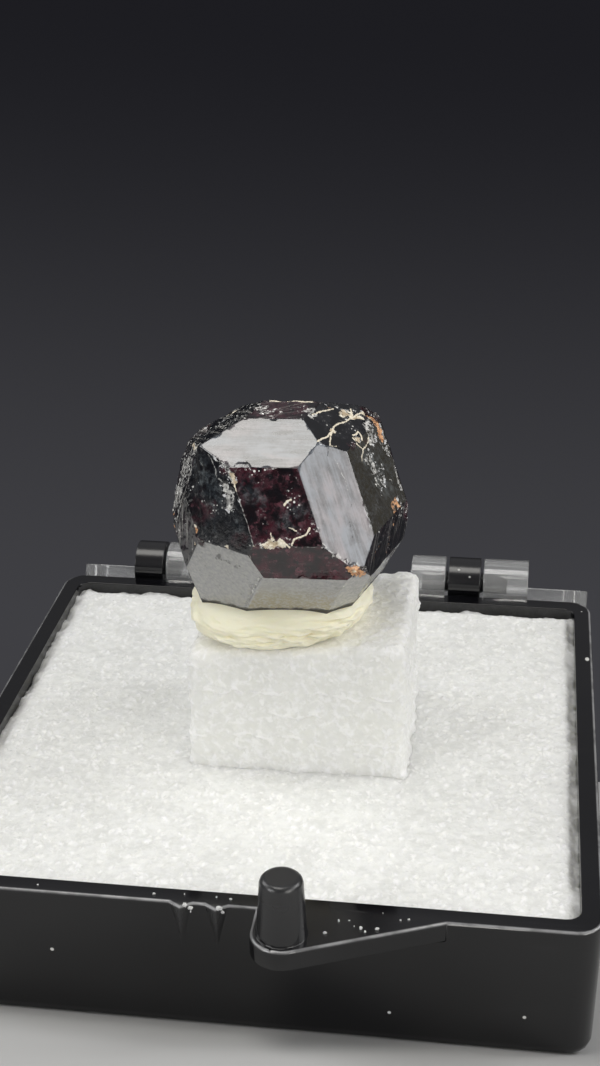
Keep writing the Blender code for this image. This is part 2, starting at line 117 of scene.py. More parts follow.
GARNET_CENTRE = Vector((0.0, 0.5, 12.0))
GARNET_TURN = Euler([math.radians(a) for a in (-3.0, -42.3, -140.3)], "XYZ")

# Refractive indices
POLYSTYRENE, FOAM, ANDRADITE = 1.59, 1.5, 1.88

# Colours, as linear red, green and blue
COLOURS = {
    # tray, lid and the dust on them, with the highlight line and the sheen painted on the tray
    "black": (0.0030, 0.0030, 0.0038), "scuffed black": (0.0075, 0.0075, 0.0088),
    "dull black and painted sheen": (0.045, 0.045, 0.047), "painted edge highlight": (0.27, 0.27, 0.275),
    "foam dust": (0.62, 0.62, 0.60), "clear": (0.97, 0.975, 0.98),
    "scuffed clear": (0.90, 0.91, 0.915), "dusty clear": (0.80, 0.80, 0.79),
    # foam and putty
    "foam hollow": (0.710, 0.715, 0.695), "foam": (0.835, 0.840, 0.820),
    "torn foam": (0.885, 0.885, 0.850), "cell wall": (0.990, 0.990, 0.975),
    "putty": (0.985, 0.905, 0.665), "pale putty": (0.995, 0.955, 0.755),
    "painted fold shade": (0.80, 0.68, 0.42), "putty grit": (0.62, 0.52, 0.34),
    # the garnet's clear body, and what shows inside it
    "garnet": (0.0030, 0.0034, 0.0050), "lighter garnet": (0.0130, 0.0135, 0.0165),
    "deep red": (0.0080, 0.0030, 0.0042), "red": (0.0620, 0.0090, 0.0170),
    "bright red": (0.155, 0.050, 0.068), "dark spot": (0.0055, 0.0035, 0.0048),
    "fleck": (0.26, 0.255, 0.25), "veil": (0.022, 0.028, 0.034),
    "bright veil": (0.150, 0.170, 0.180),
    # its skin, partly a painted reflection of the foam below, the painted contact shade where it
    # meets the putty, and its film
    "grey skin and painted reflection": (0.320, 0.320, 0.322), "brown skin": (0.325, 0.285, 0.190),
    "skin streak": (0.26, 0.255, 0.245), "skin grain": (0.40, 0.395, 0.375),
    "skin pit": (0.16, 0.15, 0.135), "dark skin and painted contact shade": (0.085, 0.082, 0.080),
    "painted_contact_shade": (0.020, 0.017, 0.012), "blue film": (0.25, 0.275, 0.315),
    "pink film": (0.35, 0.305, 0.32),
    # its marks
    "growth streak": (0.42, 0.41, 0.38), "frost": (0.20, 0.20, 0.195),
    "bright frost": (0.72, 0.71, 0.68), "rust": (0.24, 0.075, 0.020),
    "bright rust": (0.76, 0.40, 0.18), "cream": (0.50, 0.39, 0.25),
    "bright cream": (0.90, 0.84, 0.70), "healed crack": (0.84, 0.76, 0.60),
    "scratch": (0.50, 0.50, 0.48), "dark scratch": (0.02, 0.02, 0.022),
    "painted glint": (0.88, 0.88, 0.85),
    # floor and surroundings
    "floor": (0.50, 0.50, 0.495), "paler floor": (0.54, 0.54, 0.535),
    "backdrop": (0.050, 0.050, 0.056), "backdrop above": (0.012, 0.012, 0.015),
    "overhead glow": (0.22, 0.22, 0.23),
}

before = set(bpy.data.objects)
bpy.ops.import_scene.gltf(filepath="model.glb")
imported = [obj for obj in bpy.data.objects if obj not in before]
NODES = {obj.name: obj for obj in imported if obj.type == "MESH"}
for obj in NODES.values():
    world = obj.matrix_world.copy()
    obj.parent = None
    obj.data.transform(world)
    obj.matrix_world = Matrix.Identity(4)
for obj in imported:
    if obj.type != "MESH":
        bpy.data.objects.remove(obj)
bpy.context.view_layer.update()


# ---------------------------------------------------------------- modelling

def pick(obj):
    """Makes obj the one selected and active object."""
    bpy.ops.object.select_all(action="DESELECT")
    obj.select_set(True)
    bpy.context.view_layer.objects.active = obj


def named(name):
    """Names the object just added and applies its place, so that it sits at the origin."""
    obj = bpy.context.object
    obj.name = obj.data.name = name
    bpy.ops.object.transform_apply(location=True, rotation=True, scale=True)
    return obj


def add_box(name, low, high):
    low, high = Vector(low), Vector(high)
    bpy.ops.object.select_all(action="DESELECT")
    bpy.ops.mesh.primitive_cube_add(size=1, location=(low + high) / 2, scale=high - low)
    return named(name)


def edit(obj, select="SELECT"):
    """Goes into edit mode with all of the object selected, or with nothing."""
    pick(obj)
    bpy.ops.object.mode_set(mode="EDIT")
    bpy.ops.mesh.select_all(action=select)


def leave_edit():
    bpy.ops.object.mode_set(mode="OBJECT")


def select_faces(obj, wanted):
    """Selects the faces for which wanted(face) is true, and goes into edit mode."""
    edit(obj, "DESELECT")
    bpy.ops.mesh.select_mode(type="FACE")
    leave_edit()
    for face in obj.data.polygons:
        face.select = wanted(face)
    bpy.ops.object.mode_set(mode="EDIT")


def subdivide(cuts, passes=1):
    """Divides what is selected, and leaves edit mode."""
    for _ in range(passes):
        bpy.ops.mesh.subdivide(number_cuts=cuts)
    leave_edit()


def read_vertices(obj, what):
    """One row of three numbers for each vertex."""
    flat = np.empty(len(obj.data.vertices) * 3)
    obj.data.vertices.foreach_get(what, flat)
    return flat.reshape(-1, 3)


def points_of(obj):
    return read_vertices(obj, "co")


def set_points(obj, points):
    obj.data.vertices.foreach_set("co", np.ascontiguousarray(points, dtype=float).ravel())
    obj.data.update()


def moved(points, place):
    """Points taken along by a matrix."""
    return points @ np.array(place.to_3x3()).T + np.array(place.translation)


def refine(obj, longest, passes):
    """Subdivides edges, over and over, until none is longer than longest(their middles)."""
    for _ in range(passes):
        points = points_of(obj)
        ends = np.empty(len(obj.data.edges) * 2, dtype=int)
        obj.data.edges.foreach_get("vertices", ends)
        a, b = points[ends[0::2]], points[ends[1::2]]
        long = np.linalg.norm(a - b, axis=1) > longest((a + b) / 2)
        if not long.any():
            break
        edit(obj, "DESELECT")
        bpy.ops.mesh.select_mode(type="EDGE")
        leave_edit()
        obj.data.edges.foreach_set("select", long)
        bpy.ops.object.mode_set(mode="EDIT")
        bpy.ops.mesh.subdivide(number_cuts=1, ngon=False)
        bpy.ops.mesh.select_all(action="SELECT")
        bpy.ops.mesh.quads_convert_to_tris()
        leave_edit()


def smooth(obj, angle=None):
    """Shades smooth: everywhere, or only where faces meet at less than angle degrees."""
    pick(obj)
    if angle is None:
        bpy.ops.object.shade_smooth()
    else:
        bpy.ops.object.shade_smooth_by_angle(angle=math.radians(angle))


def put_in_tray(obj):
    """Takes a piece that was modelled level to the tray's place, in its mesh."""
    obj.data.transform(TRAY)
    obj.data.update()


# ---------------------------------------------------------------- fields

def spots_of_noise(points, size, seed):
    """Where noise is read for each point. Every seed reads it in a place of its own."""
    shift = Vector((seed * 7.31, seed * -3.77, seed * 5.13))
    return [Vector(p) / size + shift for p in points]


def lumps(points, size, seed=0.0):
    """Smooth noise from about -1 to 1 at each point. size is the size of its lumps."""
    return np.array([noise.noise(spot) for spot in spots_of_noise(points, size, seed)])


def rough(points, size, seed=0.0, octaves=4):
    """Noise with finer and finer lumps on it, from about -1 to 1."""
    spots = spots_of_noise(points, size, seed)
    return np.array([noise.fractal(spot, 0.9, 2.1, octaves) for spot in spots])


def cells(points, size, seed=0.0):
    """Distances to the nearest and the second nearest cell middle, in cell sizes."""
    found = [noise.voronoi(spot)[0] for spot in spots_of_noise(points, size, seed)]
    return np.array([d[0] for d in found]), np.array([d[1] for d in found])


def lumps_3d(points, size, seeds):
    """Three fields of lumps, as a vector for each point."""
    return np.stack([lumps(points, size, seed) for seed in seeds], axis=1)


def ramp(values, low, high):
    """0 below low, 1 above high, smooth between; low may be the larger one."""
    t = np.clip((values - low) / (high - low), 0, 1)
    return t * t * (3 - 2 * t)


def to_line(points, line):
    """Distance of each point from one spot or from a line of several straight stretches."""
    nearest = np.linalg.norm(points - np.array(line[0], float), axis=1)
    for a, b in zip(np.array(line[:-1], float), np.array(line[1:], float)):
        along = np.clip(((points - a) @ (b - a)) / ((b - a) @ (b - a)), 0, 1)
        nearest = np.minimum(nearest, np.linalg.norm(points - a - along[:, None] * (b - a), axis=1))
    return nearest


def store(obj, name, values):
    """Keeps a number or a vector for each vertex, for the material to read."""
    values = np.ascontiguousarray(values, dtype=np.float32)
    kind, field = ("FLOAT", "value") if values.ndim == 1 else ("FLOAT_VECTOR", "vector")
    layer = obj.data.attributes.new(name, kind, "POINT")
    layer.data.foreach_set(field, values.ravel())


# ---------------------------------------------------------------- shader tools

def plug(tree, made, inputs):
    """Sets a node's inputs; each is a plain value or another node's socket."""
    for name, value in inputs.items():
        if isinstance(value, bpy.types.NodeSocket):
            tree.links.new(value, made.inputs[name])
        else:
            made.inputs[name].default_value = value


def node(tree, kind, inputs, **properties):
    made = tree.nodes.new(kind)
    for name, value in properties.items():
        setattr(made, name, value)
    plug(tree, made, inputs)
    return made


def maths(tree, operation, a, b=0.0, c=0.0, clamp=False):
    made = node(tree, "ShaderNodeMath", {0: a, 1: b, 2: c}, operation=operation, use_clamp=clamp)
    return made.outputs[0]


def times(tree, result, *values):
    """The product of all the values."""
    for value in values:
        result = maths(tree, "MULTIPLY", result, value)
    return result


def largest(tree, result, *values):
    for value in values:
        result = maths(tree, "MAXIMUM", result, value)
    return result


def weighted(tree, *parts, start=0.0, clamp=False):
    """start plus each value times its weight."""
    total = start
    for value, weight in parts:
        total = maths(tree, "MULTIPLY_ADD", value, weight, total, clamp)
    return total


def steps(tree, value, low, high, start=0.0, end=1.0):
    """A smooth step of a value between two limits."""
    made = node(tree, "ShaderNodeMapRange", {
        "Value": value, "From Min": low, "From Max": high, "To Min": start, "To Max": end},
        interpolation_type="SMOOTHSTEP")
    return made.outputs[0]


def blend_colours(tree, share, a, b):
    """From colour a to colour b; each is a name in COLOURS or another node's socket."""
    a, b = ((*COLOURS[c], 1) if isinstance(c, str) else c for c in (a, b))
    return node(tree, "ShaderNodeMix", {0: share, 6: a, 7: b}, data_type="RGBA").outputs[2]


def coated(tree, colour, *coats):
    """A colour with coats on it, the lowest first: how much there is of each, and its colour."""
    for share, coat in coats:
        colour = blend_colours(tree, share, colour, coat)
    return colour


def cloud(tree, coords, scale, detail=3.0, roughness=0.55):
    """Noise from 0 to 1, mostly near the middle; scale is how many lumps in a metre."""
    return node(tree, "ShaderNodeTexNoise", {
        "Vector": coords, "Scale": scale, "Detail": detail, "Roughness": roughness}).outputs["Fac"]


def stretch(tree, coords, scale, turn=(0.0, 0.0, 0.0)):
    inputs = {"Vector": coords, "Scale": scale, "Rotation": turn}
    return node(tree, "ShaderNodeMapping", inputs).outputs[0]


def attribute(tree, name, output="Fac"):
    return node(tree, "ShaderNodeAttribute", {}, attribute_name=name).outputs[output]


def bump(tree, height, strength, distance, **below):
    """The normal of a bump. Normal=socket is the bump below it."""
    inputs = {"Height": height, "Strength": strength, "Distance": distance, **below}
    return node(tree, "ShaderNodeBump", inputs).outputs[0]


def new_mask_group(name, inputs):
    """An empty shader node group that puts out Mask. inputs: name to default, None for a vector."""
    group = bpy.data.node_groups.new(name, "ShaderNodeTree")
    for label, default in inputs.items():
        kind = "NodeSocketVector" if default is None else "NodeSocketFloat"
        socket = group.interface.new_socket(label, in_out="INPUT", socket_type=kind)
        if default is not None:
            socket.default_value = default
    group.interface.new_socket("Mask", in_out="OUTPUT", socket_type="NodeSocketFloat")
    return group, group.nodes.new("NodeGroupInput").outputs, group.nodes.new("NodeGroupOutput")


def mask_of(tree, group, inputs):
    return node(tree, "ShaderNodeGroup", inputs, node_tree=group).outputs["Mask"]


def make_specks_group():
    """Small scattered grains: a mask that is 1 on a grain. Share is how many cells have one."""
    group, entry, leave = new_mask_group(
        "specks", {"Vector": None, "Scale": 1000.0, "Size": 0.18, "Share": 0.3})
    cell = node(group, "ShaderNodeTexVoronoi", {"Vector": entry["Vector"], "Scale": entry["Scale"]})
    chance = node(group, "ShaderNodeSeparateColor", {"Color": cell.outputs["Color"]}).outputs[0]
    chosen = maths(group, "LESS_THAN", chance, entry["Share"])
    near = steps(group, cell.outputs["Distance"], entry["Size"], times(group, entry["Size"], 0.6))
    plug(group, leave, {"Mask": times(group, near, chosen)})
    return group


def make_scuffs_group():
    """Fine hair scratches and hazy smears of handling: a mask from 0 to 1."""
    group, entry, leave = new_mask_group("scuffs", {"Vector": None, "Scale": 300.0})
    smear = cloud(group, entry["Vector"], times(group, entry["Scale"], 0.5), 4.0, 0.5)
    masks = [steps(group, smear, 0.45, 0.75, 0.0, 0.45)]
    for number, turn in enumerate((0.35, 1.25, 2.3)):
        coords = stretch(group, entry["Vector"], (1.0, 14.0, 1.0), (0.2, 0.4 * number, turn))
        masks.append(steps(group, cloud(group, coords, entry["Scale"], 2.0, 0.5), 0.66, 0.78))
    plug(group, leave, {"Mask": largest(group, *masks)})
    return group


SPECKS = make_specks_group()
SCUFFS = make_scuffs_group()


def specks(tree, coords, scale, size, share):
    return mask_of(tree, SPECKS, {"Vector": coords, "Scale": scale, "Size": size, "Share": share})


def scuffs(tree, coords, scale):
    return mask_of(tree, SCUFFS, {"Vector": coords, "Scale": scale})


def new_material(name):
    """A material with its shader and Object coordinates: (material, tree, shader, coordinates)."""
    material = bpy.data.materials.new(name)
    material.use_nodes = True
    tree = material.node_tree
    coords = node(tree, "ShaderNodeTexCoord", {}).outputs["Object"]
    return material, tree, tree.nodes["Principled BSDF"], coords


# ---------------------------------------------------------------- materials

def black_plastic():
    """Glossy black polystyrene with faint scuffs and white foam dust.

    The vertex numbers say where it was moulded with a dull face, lighter in colour as partly a
    painted sheen, and where a highlight line is painted under the rim's outer edge."""
    material, tree, shader, coords = new_material("black_plastic")
    scuffed = scuffs(tree, coords, 260.0)
    dust = specks(tree, coords, 1500.0, 0.16, 0.035)
    fibres = specks(tree, stretch(tree, coords, (1.0, 0.35, 1.0)), 900.0, 0.13, 0.02)
    dusty = largest(tree, dust, fibres)
    # satin places are duller and lighter; the lighter colour is partly a painted sheen
    satin_and_sheen = attribute(tree, "satin_and_sheen")
    patchy = steps(tree, cloud(tree, coords, 900.0), 0.35, 0.60, 0.55, 1.0)
    # a highlight line painted under the rim's outer edge, in a lighter colour
    wear_and_highlight = times(tree, patchy, attribute(tree, "wear_and_highlight"))
    waves = cloud(tree, coords, 160.0, 2.0)
    height = weighted(tree, (dusty, 0.6), start=waves)
    plug(tree, shader, {
        "IOR": POLYSTYRENE,
        "Base Color": coated(tree, "black", (scuffed, "scuffed black"), (dusty, "foam dust"),
                             (times(tree, satin_and_sheen, 0.45), "dull black and painted sheen"), (wear_and_highlight, "painted edge highlight")),
        "Roughness": largest(tree, steps(tree, scuffed, 0.0, 1.0, 0.07, 0.26),
                             times(tree, dusty, 0.7), times(tree, satin_and_sheen, 0.31)),
        "Normal": bump(tree, height, 0.25, 0.04 * MM)})
    return material


def clear_plastic():
    """Polished clear polystyrene with faint scuffs."""
    material, tree, shader, coords = new_material("clear_plastic")
    scuffed = scuffs(tree, coords, 220.0)
    dust = specks(tree, coords, 1300.0, 0.14, 0.03)
    waves = cloud(tree, coords, 240.0)
    plug(tree, shader, {
        "IOR": POLYSTYRENE, "Transmission Weight": 0.86,
        "Base Color": coated(tree, "clear", (scuffed, "scuffed clear"), (dust, "dusty clear")),
        "Roughness": largest(tree, steps(tree, scuffed, 0.0, 1.0, 0.07, 0.26),
                             times(tree, dust, 0.6)),
        "Normal": bump(tree, waves, 0.35, 0.10 * MM)})
    return material


def white_foam():
    """Closed-cell foam, slightly translucent.

    The vertex number torn goes from the small bright grains of a sawn face (0)
    to the larger bright cell walls of a torn one (1), and row is 1 on its ragged rows."""
    material, tree, shader, coords = new_material("white_foam")
    torn = attribute(tree, "torn")
    swirl = node(tree, "ShaderNodeTexNoise", {
        "Vector": coords, "Scale": 1100.0, "Detail": 3.5}).outputs["Color"]
    bent = node(tree, "ShaderNodeMix", {0: 0.0008, 4: coords, 5: swirl},
                data_type="VECTOR").outputs[1]
    patches = cloud(tree, coords, 620.0, 4.0)
    crumb = cloud(tree, coords, 2500.0, 5.0, 0.66)

    # cell walls: soft bright lines round every cell, stronger here and there
    cell = node(tree, "ShaderNodeTexVoronoi", {"Vector": bent, "Scale": 1350.0},
                feature="DISTANCE_TO_EDGE").outputs["Distance"]
    wall = times(tree, steps(tree, cell, 0.20, 0.02), steps(tree, crumb, 0.42, 0.60, 0.12, 1.0))
    ragged = weighted(tree, (attribute(tree, "row"), 0.38), start=crumb)
    upright = specks(tree, stretch(tree, bent, (1.0, 1.0, 0.30)), 1700.0, 0.22, 0.32)
    flat = specks(tree, stretch(tree, bent, (0.32, 1.0, 1.0)), 1900.0, 0.20, 0.28)
    wall = times(tree, largest(tree, wall, steps(tree, ragged, 0.66, 0.76), upright, flat), torn)

    # grains: bright middles, gathered in places, fewer where the foam is torn
    grain = node(tree, "ShaderNodeTexVoronoi", {
        "Vector": stretch(tree, bent, (1.0, 0.55, 1.0)), "Scale": 3200.0}).outputs["Distance"]
    gathered = cloud(tree, stretch(tree, coords, (1.0, 0.6, 1.0)), 2300.0, 5.0, 0.66)
    grain = times(tree, steps(tree, grain, 0.70, 0.10), steps(tree, gathered, 0.40, 0.58),
                  steps(tree, torn, 0.0, 1.0, 1.0, 0.55))

    patches = weighted(tree, (crumb, 0.6), (patches, 0.4))
    glint = specks(tree, coords, 2300.0, 0.24, 0.30)
    relief = weighted(tree, (grain, 0.8), (wall, 0.5), (crumb, 0.5))
    plug(tree, shader, {
        "Subsurface Weight": 0.5, "Subsurface Radius": (1.0, 1.0, 0.90),
        "Subsurface Scale": 1.4 * MM, "IOR": FOAM,
        "Base Color": coated(tree, "foam hollow", (steps(tree, patches, 0.36, 0.62), "foam"),
                             (times(tree, torn, 0.65), "torn foam"),
                             (largest(tree, wall, grain), "cell wall")),
        "Roughness": steps(tree, glint, 0.0, 1.0, 0.55, 0.20),
        "Normal": bump(tree, relief, 0.55, 0.10 * MM)})
    return material


def cream_putty():
    """Cream mounting putty, satin, with painted shade in its folds."""
    material, tree, shader, coords = new_material("cream_putty")
    patches = cloud(tree, coords, 420.0)
    # painted shade in the creases, where the stored height is low
    fold_shade = steps(tree, attribute(tree, "height"), 0.40, 0.10, 0.0, 0.8)
    grit = specks(tree, coords, 1500.0, 0.12, 0.05)
    slanted = stretch(tree, coords, (0.45, 1.0, 1.0), (0.0, 0.5, 0.0))
    wrinkles = cloud(tree, slanted, 1900.0, 4.0, 0.6)
    plug(tree, shader, {
        "Subsurface Weight": 0.4, "Subsurface Radius": (1.0, 0.88, 0.62),
        "Subsurface Scale": 0.9 * MM,
        "Base Color": coated(tree, "putty", (patches, "pale putty"), (fold_shade, "painted fold shade"),
                             (times(tree, grit, 0.5), "putty grit")),
        "Roughness": steps(tree, patches, 0.3, 0.7, 0.36, 0.52),
        "Normal": bump(tree, wrinkles, 0.55, 0.13 * MM)})
    return material


def garnet_finish():
    """Near-black garnet with an adamantine lustre.

    The vertex numbers say where red shows through, where a face is hazy, with a grey skin that is
    partly a painted reflection of the foam below, or veiled, where it is rough, where it is broken
    to cream or stained brown, where shade is painted at the putty, and how far each point lies from
    the healed cracks."""
    material, tree, shader, coords = new_material("garnet")
    red, haze_and_reflection, warm, film = (attribute(tree, n) for n in ("red", "haze_and_reflection", "warm", "film"))
    dull, veil, frost, sparkle = (attribute(tree, n) for n in ("dull", "veil", "frost", "sparkle"))
    streaky, cream, rust, dark = (attribute(tree, n) for n in ("streaky", "cream", "rust", "dark"))
    vein, pale, hair = (attribute(tree, n) for n in ("vein", "pale", "hair"))
    grain = attribute(tree, "grain", "Vector")

    lines = cloud(tree, stretch(tree, grain, (0.10, 1.0, 1.0)), 5200.0)
    streaks = cloud(tree, stretch(tree, grain, (0.16, 1.0, 1.0)), 2600.0, 4.0)
    broad = cloud(tree, stretch(tree, grain, (0.45, 1.0, 1.0)), 620.0)
    mottle = cloud(tree, coords, 1150.0, 6.0, 0.68)
    blots = cloud(tree, coords, 2500.0, 5.0, 0.62)
    fine = cloud(tree, coords, 6200.0, 4.0, 0.62)
    scratchy = weighted(tree, (lines, 0.35), (fine, 0.65))
    wobble = weighted(tree, (fine, 0.10), start=-0.05)

    def grown(amount, pattern, reach=0.38):
        """A patch that breaks up into flecks: it fills as amount goes from 0 to 1."""
        return steps(tree, weighted(tree, (amount, reach), start=pattern), 0.79, 0.87)

    # the clear dark body, the red that shows through it, and the flaws inside it
    body = blend_colours(tree, steps(tree, mottle, 0.45, 0.62), "garnet", "lighter garnet")
    glow = coated(tree, "deep red", (steps(tree, mottle, 0.42, 0.58), "red"),
                  (steps(tree, blots, 0.56, 0.70), "bright red"),
                  (steps(tree, blots, 0.47, 0.39), "dark spot"))
    flecks = times(tree, steps(tree, fine, 0.56, 0.66), steps(tree, mottle, 0.46, 0.60),
                   steps(tree, sparkle, 0.0, 1.0, 0.0, 1.3))
    mist = blend_colours(tree, steps(tree, blots, 0.40, 0.68), "veil", "bright veil")
    misty = times(tree, veil, steps(tree, mottle, 0.36, 0.56))

    # the grey skin of the lower faces, partly a painted reflection of the white foam below them,
    # and the thin streaky film of the bright ones
    skin = coated(tree, "grey skin and painted reflection", (warm, "brown skin"),
                  (steps(tree, streaks, 0.35, 0.68, 0.0, 0.35), "skin streak"),
                  (steps(tree, fine, 0.42, 0.66), "skin grain"),
                  (steps(tree, fine, 0.36, 0.28), "skin pit"),
                  (steps(tree, weighted(tree, (dark, 0.5), start=blots), 0.98, 1.10), "dark skin and painted contact shade"))
    # painted contact shade where the crystal meets the putty; the skin there is darkened too
    painted_contact_shade = steps(tree, dark, 1.1, 2.0)
    tint = blend_colours(tree, steps(tree, broad, 0.45, 0.62), "blue film", "pink film")
    filmed = weighted(tree, (mottle, 0.35), (streaks, 0.35), (lines, 0.30))
    filmed = times(tree, film, steps(tree, filmed, 0.36, 0.61))

    # growth streaks, frosted, stained and chipped spots, cracks, and painted glints
    streak = times(tree, streaky, steps(tree, lines, 0.54, 0.64))
    frosted = grown(frost, scratchy)
    frosting = blend_colours(tree, steps(tree, blots, 0.36, 0.60), "frost", "bright frost")
    rusty = grown(rust, scratchy, 0.42)
    stain = blend_colours(tree, steps(tree, fine, 0.36, 0.62), "rust", "bright rust")
    creamy = grown(cream, fine, 0.50)
    crumbly = blend_colours(tree, steps(tree, blots, 0.40, 0.60), "cream", "bright cream")
    veined = steps(tree, maths(tree, "ADD", vein, wobble), 0.012, -0.010)
    lined = steps(tree, maths(tree, "ADD", pale, wobble), 0.012, -0.012, 0.0, 0.7)
    scored = steps(tree, weighted(tree, (wobble, 0.4), start=hair), 0.010, -0.004)
    # painted glints: bright specks where the sparkle look is
    painted_glints = largest(tree, specks(tree, coords, 3600.0, 0.26, 0.42),
                     specks(tree, coords, 6400.0, 0.26, 0.30))
    painted_glints = times(tree, painted_glints, grown(sparkle, mottle, 0.55))
    colour = coated(
        tree, body, (red, glow), (flecks, "fleck"), (misty, mist), (haze_and_reflection, skin), (painted_contact_shade, "painted_contact_shade"),
        (filmed, tint), (streak, "growth streak"), (frosted, frosting), (rusty, stain),
        (creamy, crumbly), (veined, "healed crack"), (lined, "scratch"),
        (scored, "dark scratch"), (painted_glints, "painted glint"))

    broken = largest(tree, creamy, rusty, frosted, veined)
    roughness = weighted(
        tree, (haze_and_reflection, 0.14), (filmed, 0.10), (dull, 0.14), (broken, 0.38), (painted_contact_shade, 0.55),
        start=steps(tree, broad, 0.3, 0.75, 0.040, 0.10), clamp=True)
    ridges = bump(tree, streaks, 0.20, 0.014 * MM)
    uneven = weighted(tree, (dull, 0.45), start=0.04)
    texture = times(tree, fine, largest(tree, uneven, broken))
    texture = weighted(tree, (scored, -0.6), start=texture)
    plug(tree, shader, {
        "IOR": ANDRADITE, "Base Color": colour, "Roughness": roughness,
        "Normal": bump(tree, texture, 0.55, 0.06 * MM, Normal=ridges)})
    return material


MATERIALS = {
    "black_plastic": black_plastic(),
    "clear_plastic": clear_plastic(),
    "white_foam": white_foam(),
    "cream_putty": cream_putty(),
    "garnet": garnet_finish(),
}


def dress(piece, body, slot, *nodes):
    """Gives a piece its finish, its body and the nodes that it stands for."""
    piece.data.materials.clear()
    piece.data.materials.append(MATERIALS[slot])
    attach(piece, body)
    if nodes:
        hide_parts(*nodes)


# ---------------------------------------------------------------- tray and lid

def moulded_copy(node_name, name):
    """A copy of a moulding, merged and ready to have its edges rounded."""
    pick(NODES[node_name])
    bpy.ops.object.duplicate()
    piece = bpy.context.object
    piece.name = piece.data.name = name
    piece.parent = None
    for key in list(piece.keys()):
        del piece[key]
    edit(piece)
    bpy.ops.mesh.remove_doubles(threshold=MERGE_DISTANCE)
    bpy.ops.mesh.dissolve_limited(angle_limit=math.radians(FLAT_ANGLE))
    leave_edit()
    return piece


def faces_beside(piece):
    """The faces on each edge, by the edge's key."""
    beside = {}
    for face in piece.data.polygons:
        for pair in face.edge_keys:
            beside.setdefault(pair, []).append(face)
    return beside


def round_edges(piece, rim_edges=()):
    """Takes the sharpness off every edge of a moulding, and more off the rim's edges."""
    beside = faces_beside(piece)
    weights = np.zeros(len(piece.data.edges), dtype=np.float32)
    for edge in piece.data.edges:
        a, b = beside[edge.key]
        limit = SHARP_ANGLE_LARGE if min(a.area, b.area) > LARGE_FACE else SHARP_ANGLE
        if a.normal.angle(b.normal) > math.radians(limit):
            weights[edge.index] = EDGE_ROUNDING / RIM_ROUNDING
    weights[list(rim_edges)] = 1.0
    layer = piece.data.attributes.new("bevel_weight_edge", "FLOAT", "EDGE")
    layer.data.foreach_set("value", weights)
    rounding = piece.modifiers.new("rounding", "BEVEL")
    rounding.width = RIM_ROUNDING
    rounding.segments = ROUNDING_STEPS
    rounding.limit_method = "WEIGHT"
    rounding.use_clamp_overlap = False
    pick(piece)
    bpy.ops.object.modifier_apply(modifier=rounding.name)
    smooth(piece, SHARP_ANGLE)
    flats = piece.modifiers.new("flats", "WEIGHTED_NORMAL")
    flats.keep_sharp = True
    flats.weight = 100
    bpy.ops.object.modifier_apply(modifier=flats.name)


def find_rim_edges(tray):
    """The outer edge of the rim's top and of the ledge, without the hinge side."""
    level = TRAY.inverted()
    spots = [level @ v.co for v in tray.data.vertices]
    beside = faces_beside(tray)
    found = []
    for edge in tray.data.edges:
        a, b = (spots[i] for i in edge.vertices)
        middle = (a + b) / 2
        from_ledge = middle - Vector((LEDGE_MIDDLE, 0, 0))
        ways = [level.to_3x3() @ f.normal for f in beside[edge.key]]
        on_top = max(abs(a.z), abs(b.z)) < 0.05 * MM
        outside = max(abs(middle.x), abs(middle.y)) > BOX_SIDE / 2 - 0.45 * MM
        in_front = middle.y < BOX_SIDE / 2 - 0.3 * MM
        side = any(abs(way.z) < 0.5 and way.dot(from_ledge) > 0 for way in ways)
        top = any(way.z > 0.9 for way in ways)
        low = all((level @ f.center).z < 0.02 * MM for f in beside[edge.key])
        if on_top and outside and in_front and side and top and low:
            found.append(edge.index)
    return found


def spread_ribs(tray):
    """Widens and lengthens the two wedge ribs where they meet the wall."""
    points = moved(points_of(tray), TRAY.inverted())
    on_ribs = np.zeros(len(points), dtype=bool)
    for middle in RIB_CENTRES:
        rib = np.abs(points[:, 0] - middle) < RIB_REACH
        rib &= (points[:, 1] < RIB_BACK) & (points[:, 2] > RIB_FOOT)
        longer = points[rib, 2] * (RIB_LONGER - 1)
        points[rib, 0] = middle + (points[rib, 0] - middle) * RIB_WIDER
        points[rib, 1] -= longer * DRAFT / TRAY_HEIGHT
        points[rib, 2] += longer
        on_ribs |= rib
    set_points(tray, moved(points, TRAY))
    for edge in tray.data.edges:
        edge.use_edge_sharp = all(on_ribs[list(edge.vertices)])


def make_tray():
    """The black tray, with the places marked where it is dull, with a partly painted sheen, and
    where a highlight line is painted under its rim's edge.
    """
    tray = moulded_copy("tray", "black_tray")
    spread_ribs(tray)
    round_edges(tray, find_rim_edges(tray))
    points = moved(points_of(tray), TRAY.inverted())
    x, y, z = points.T
    # how satin each place is; its lighter colour is partly a painted sheen on the post, ribs and
    # knuckles
    post = (y < SATIN_POST_BACK) * ramp(z, 0.1 * MM, 0.5 * MM)
    ledge = (y < SATIN_LEDGE_BACK) * (z > -0.15 * MM) * SATIN_LEDGE
    ribs = (y < SATIN_RIBS_BACK) * (np.abs(x + 1.8 * MM) < 1.6 * MM) * SATIN_RIBS
    knuckles = (y > SATIN_KNUCKLES_FRONT) * SATIN_KNUCKLES
    store(tray, "satin_and_sheen", np.maximum.reduce([post, ledge, ribs, knuckles]))
    # the band under the rim's outer edge where a highlight line is painted
    outside = np.abs(points[:, :2]).max(axis=1) > BOX_SIDE / 2 - 0.4 * MM
    in_front = y < 15.5 * MM
    store(tray, "wear_and_highlight", outside & in_front & (z < RIM_HIGHLIGHT_TOP) & (z > RIM_HIGHLIGHT_LOW))
    dress(tray, "tray", "black_plastic", "tray")


def make_lid():
    lid = moulded_copy("lid", "clear_lid")
    round_edges(lid)
    dress(lid, "lid", "clear_plastic", "lid")


# ---------------------------------------------------------------- foam

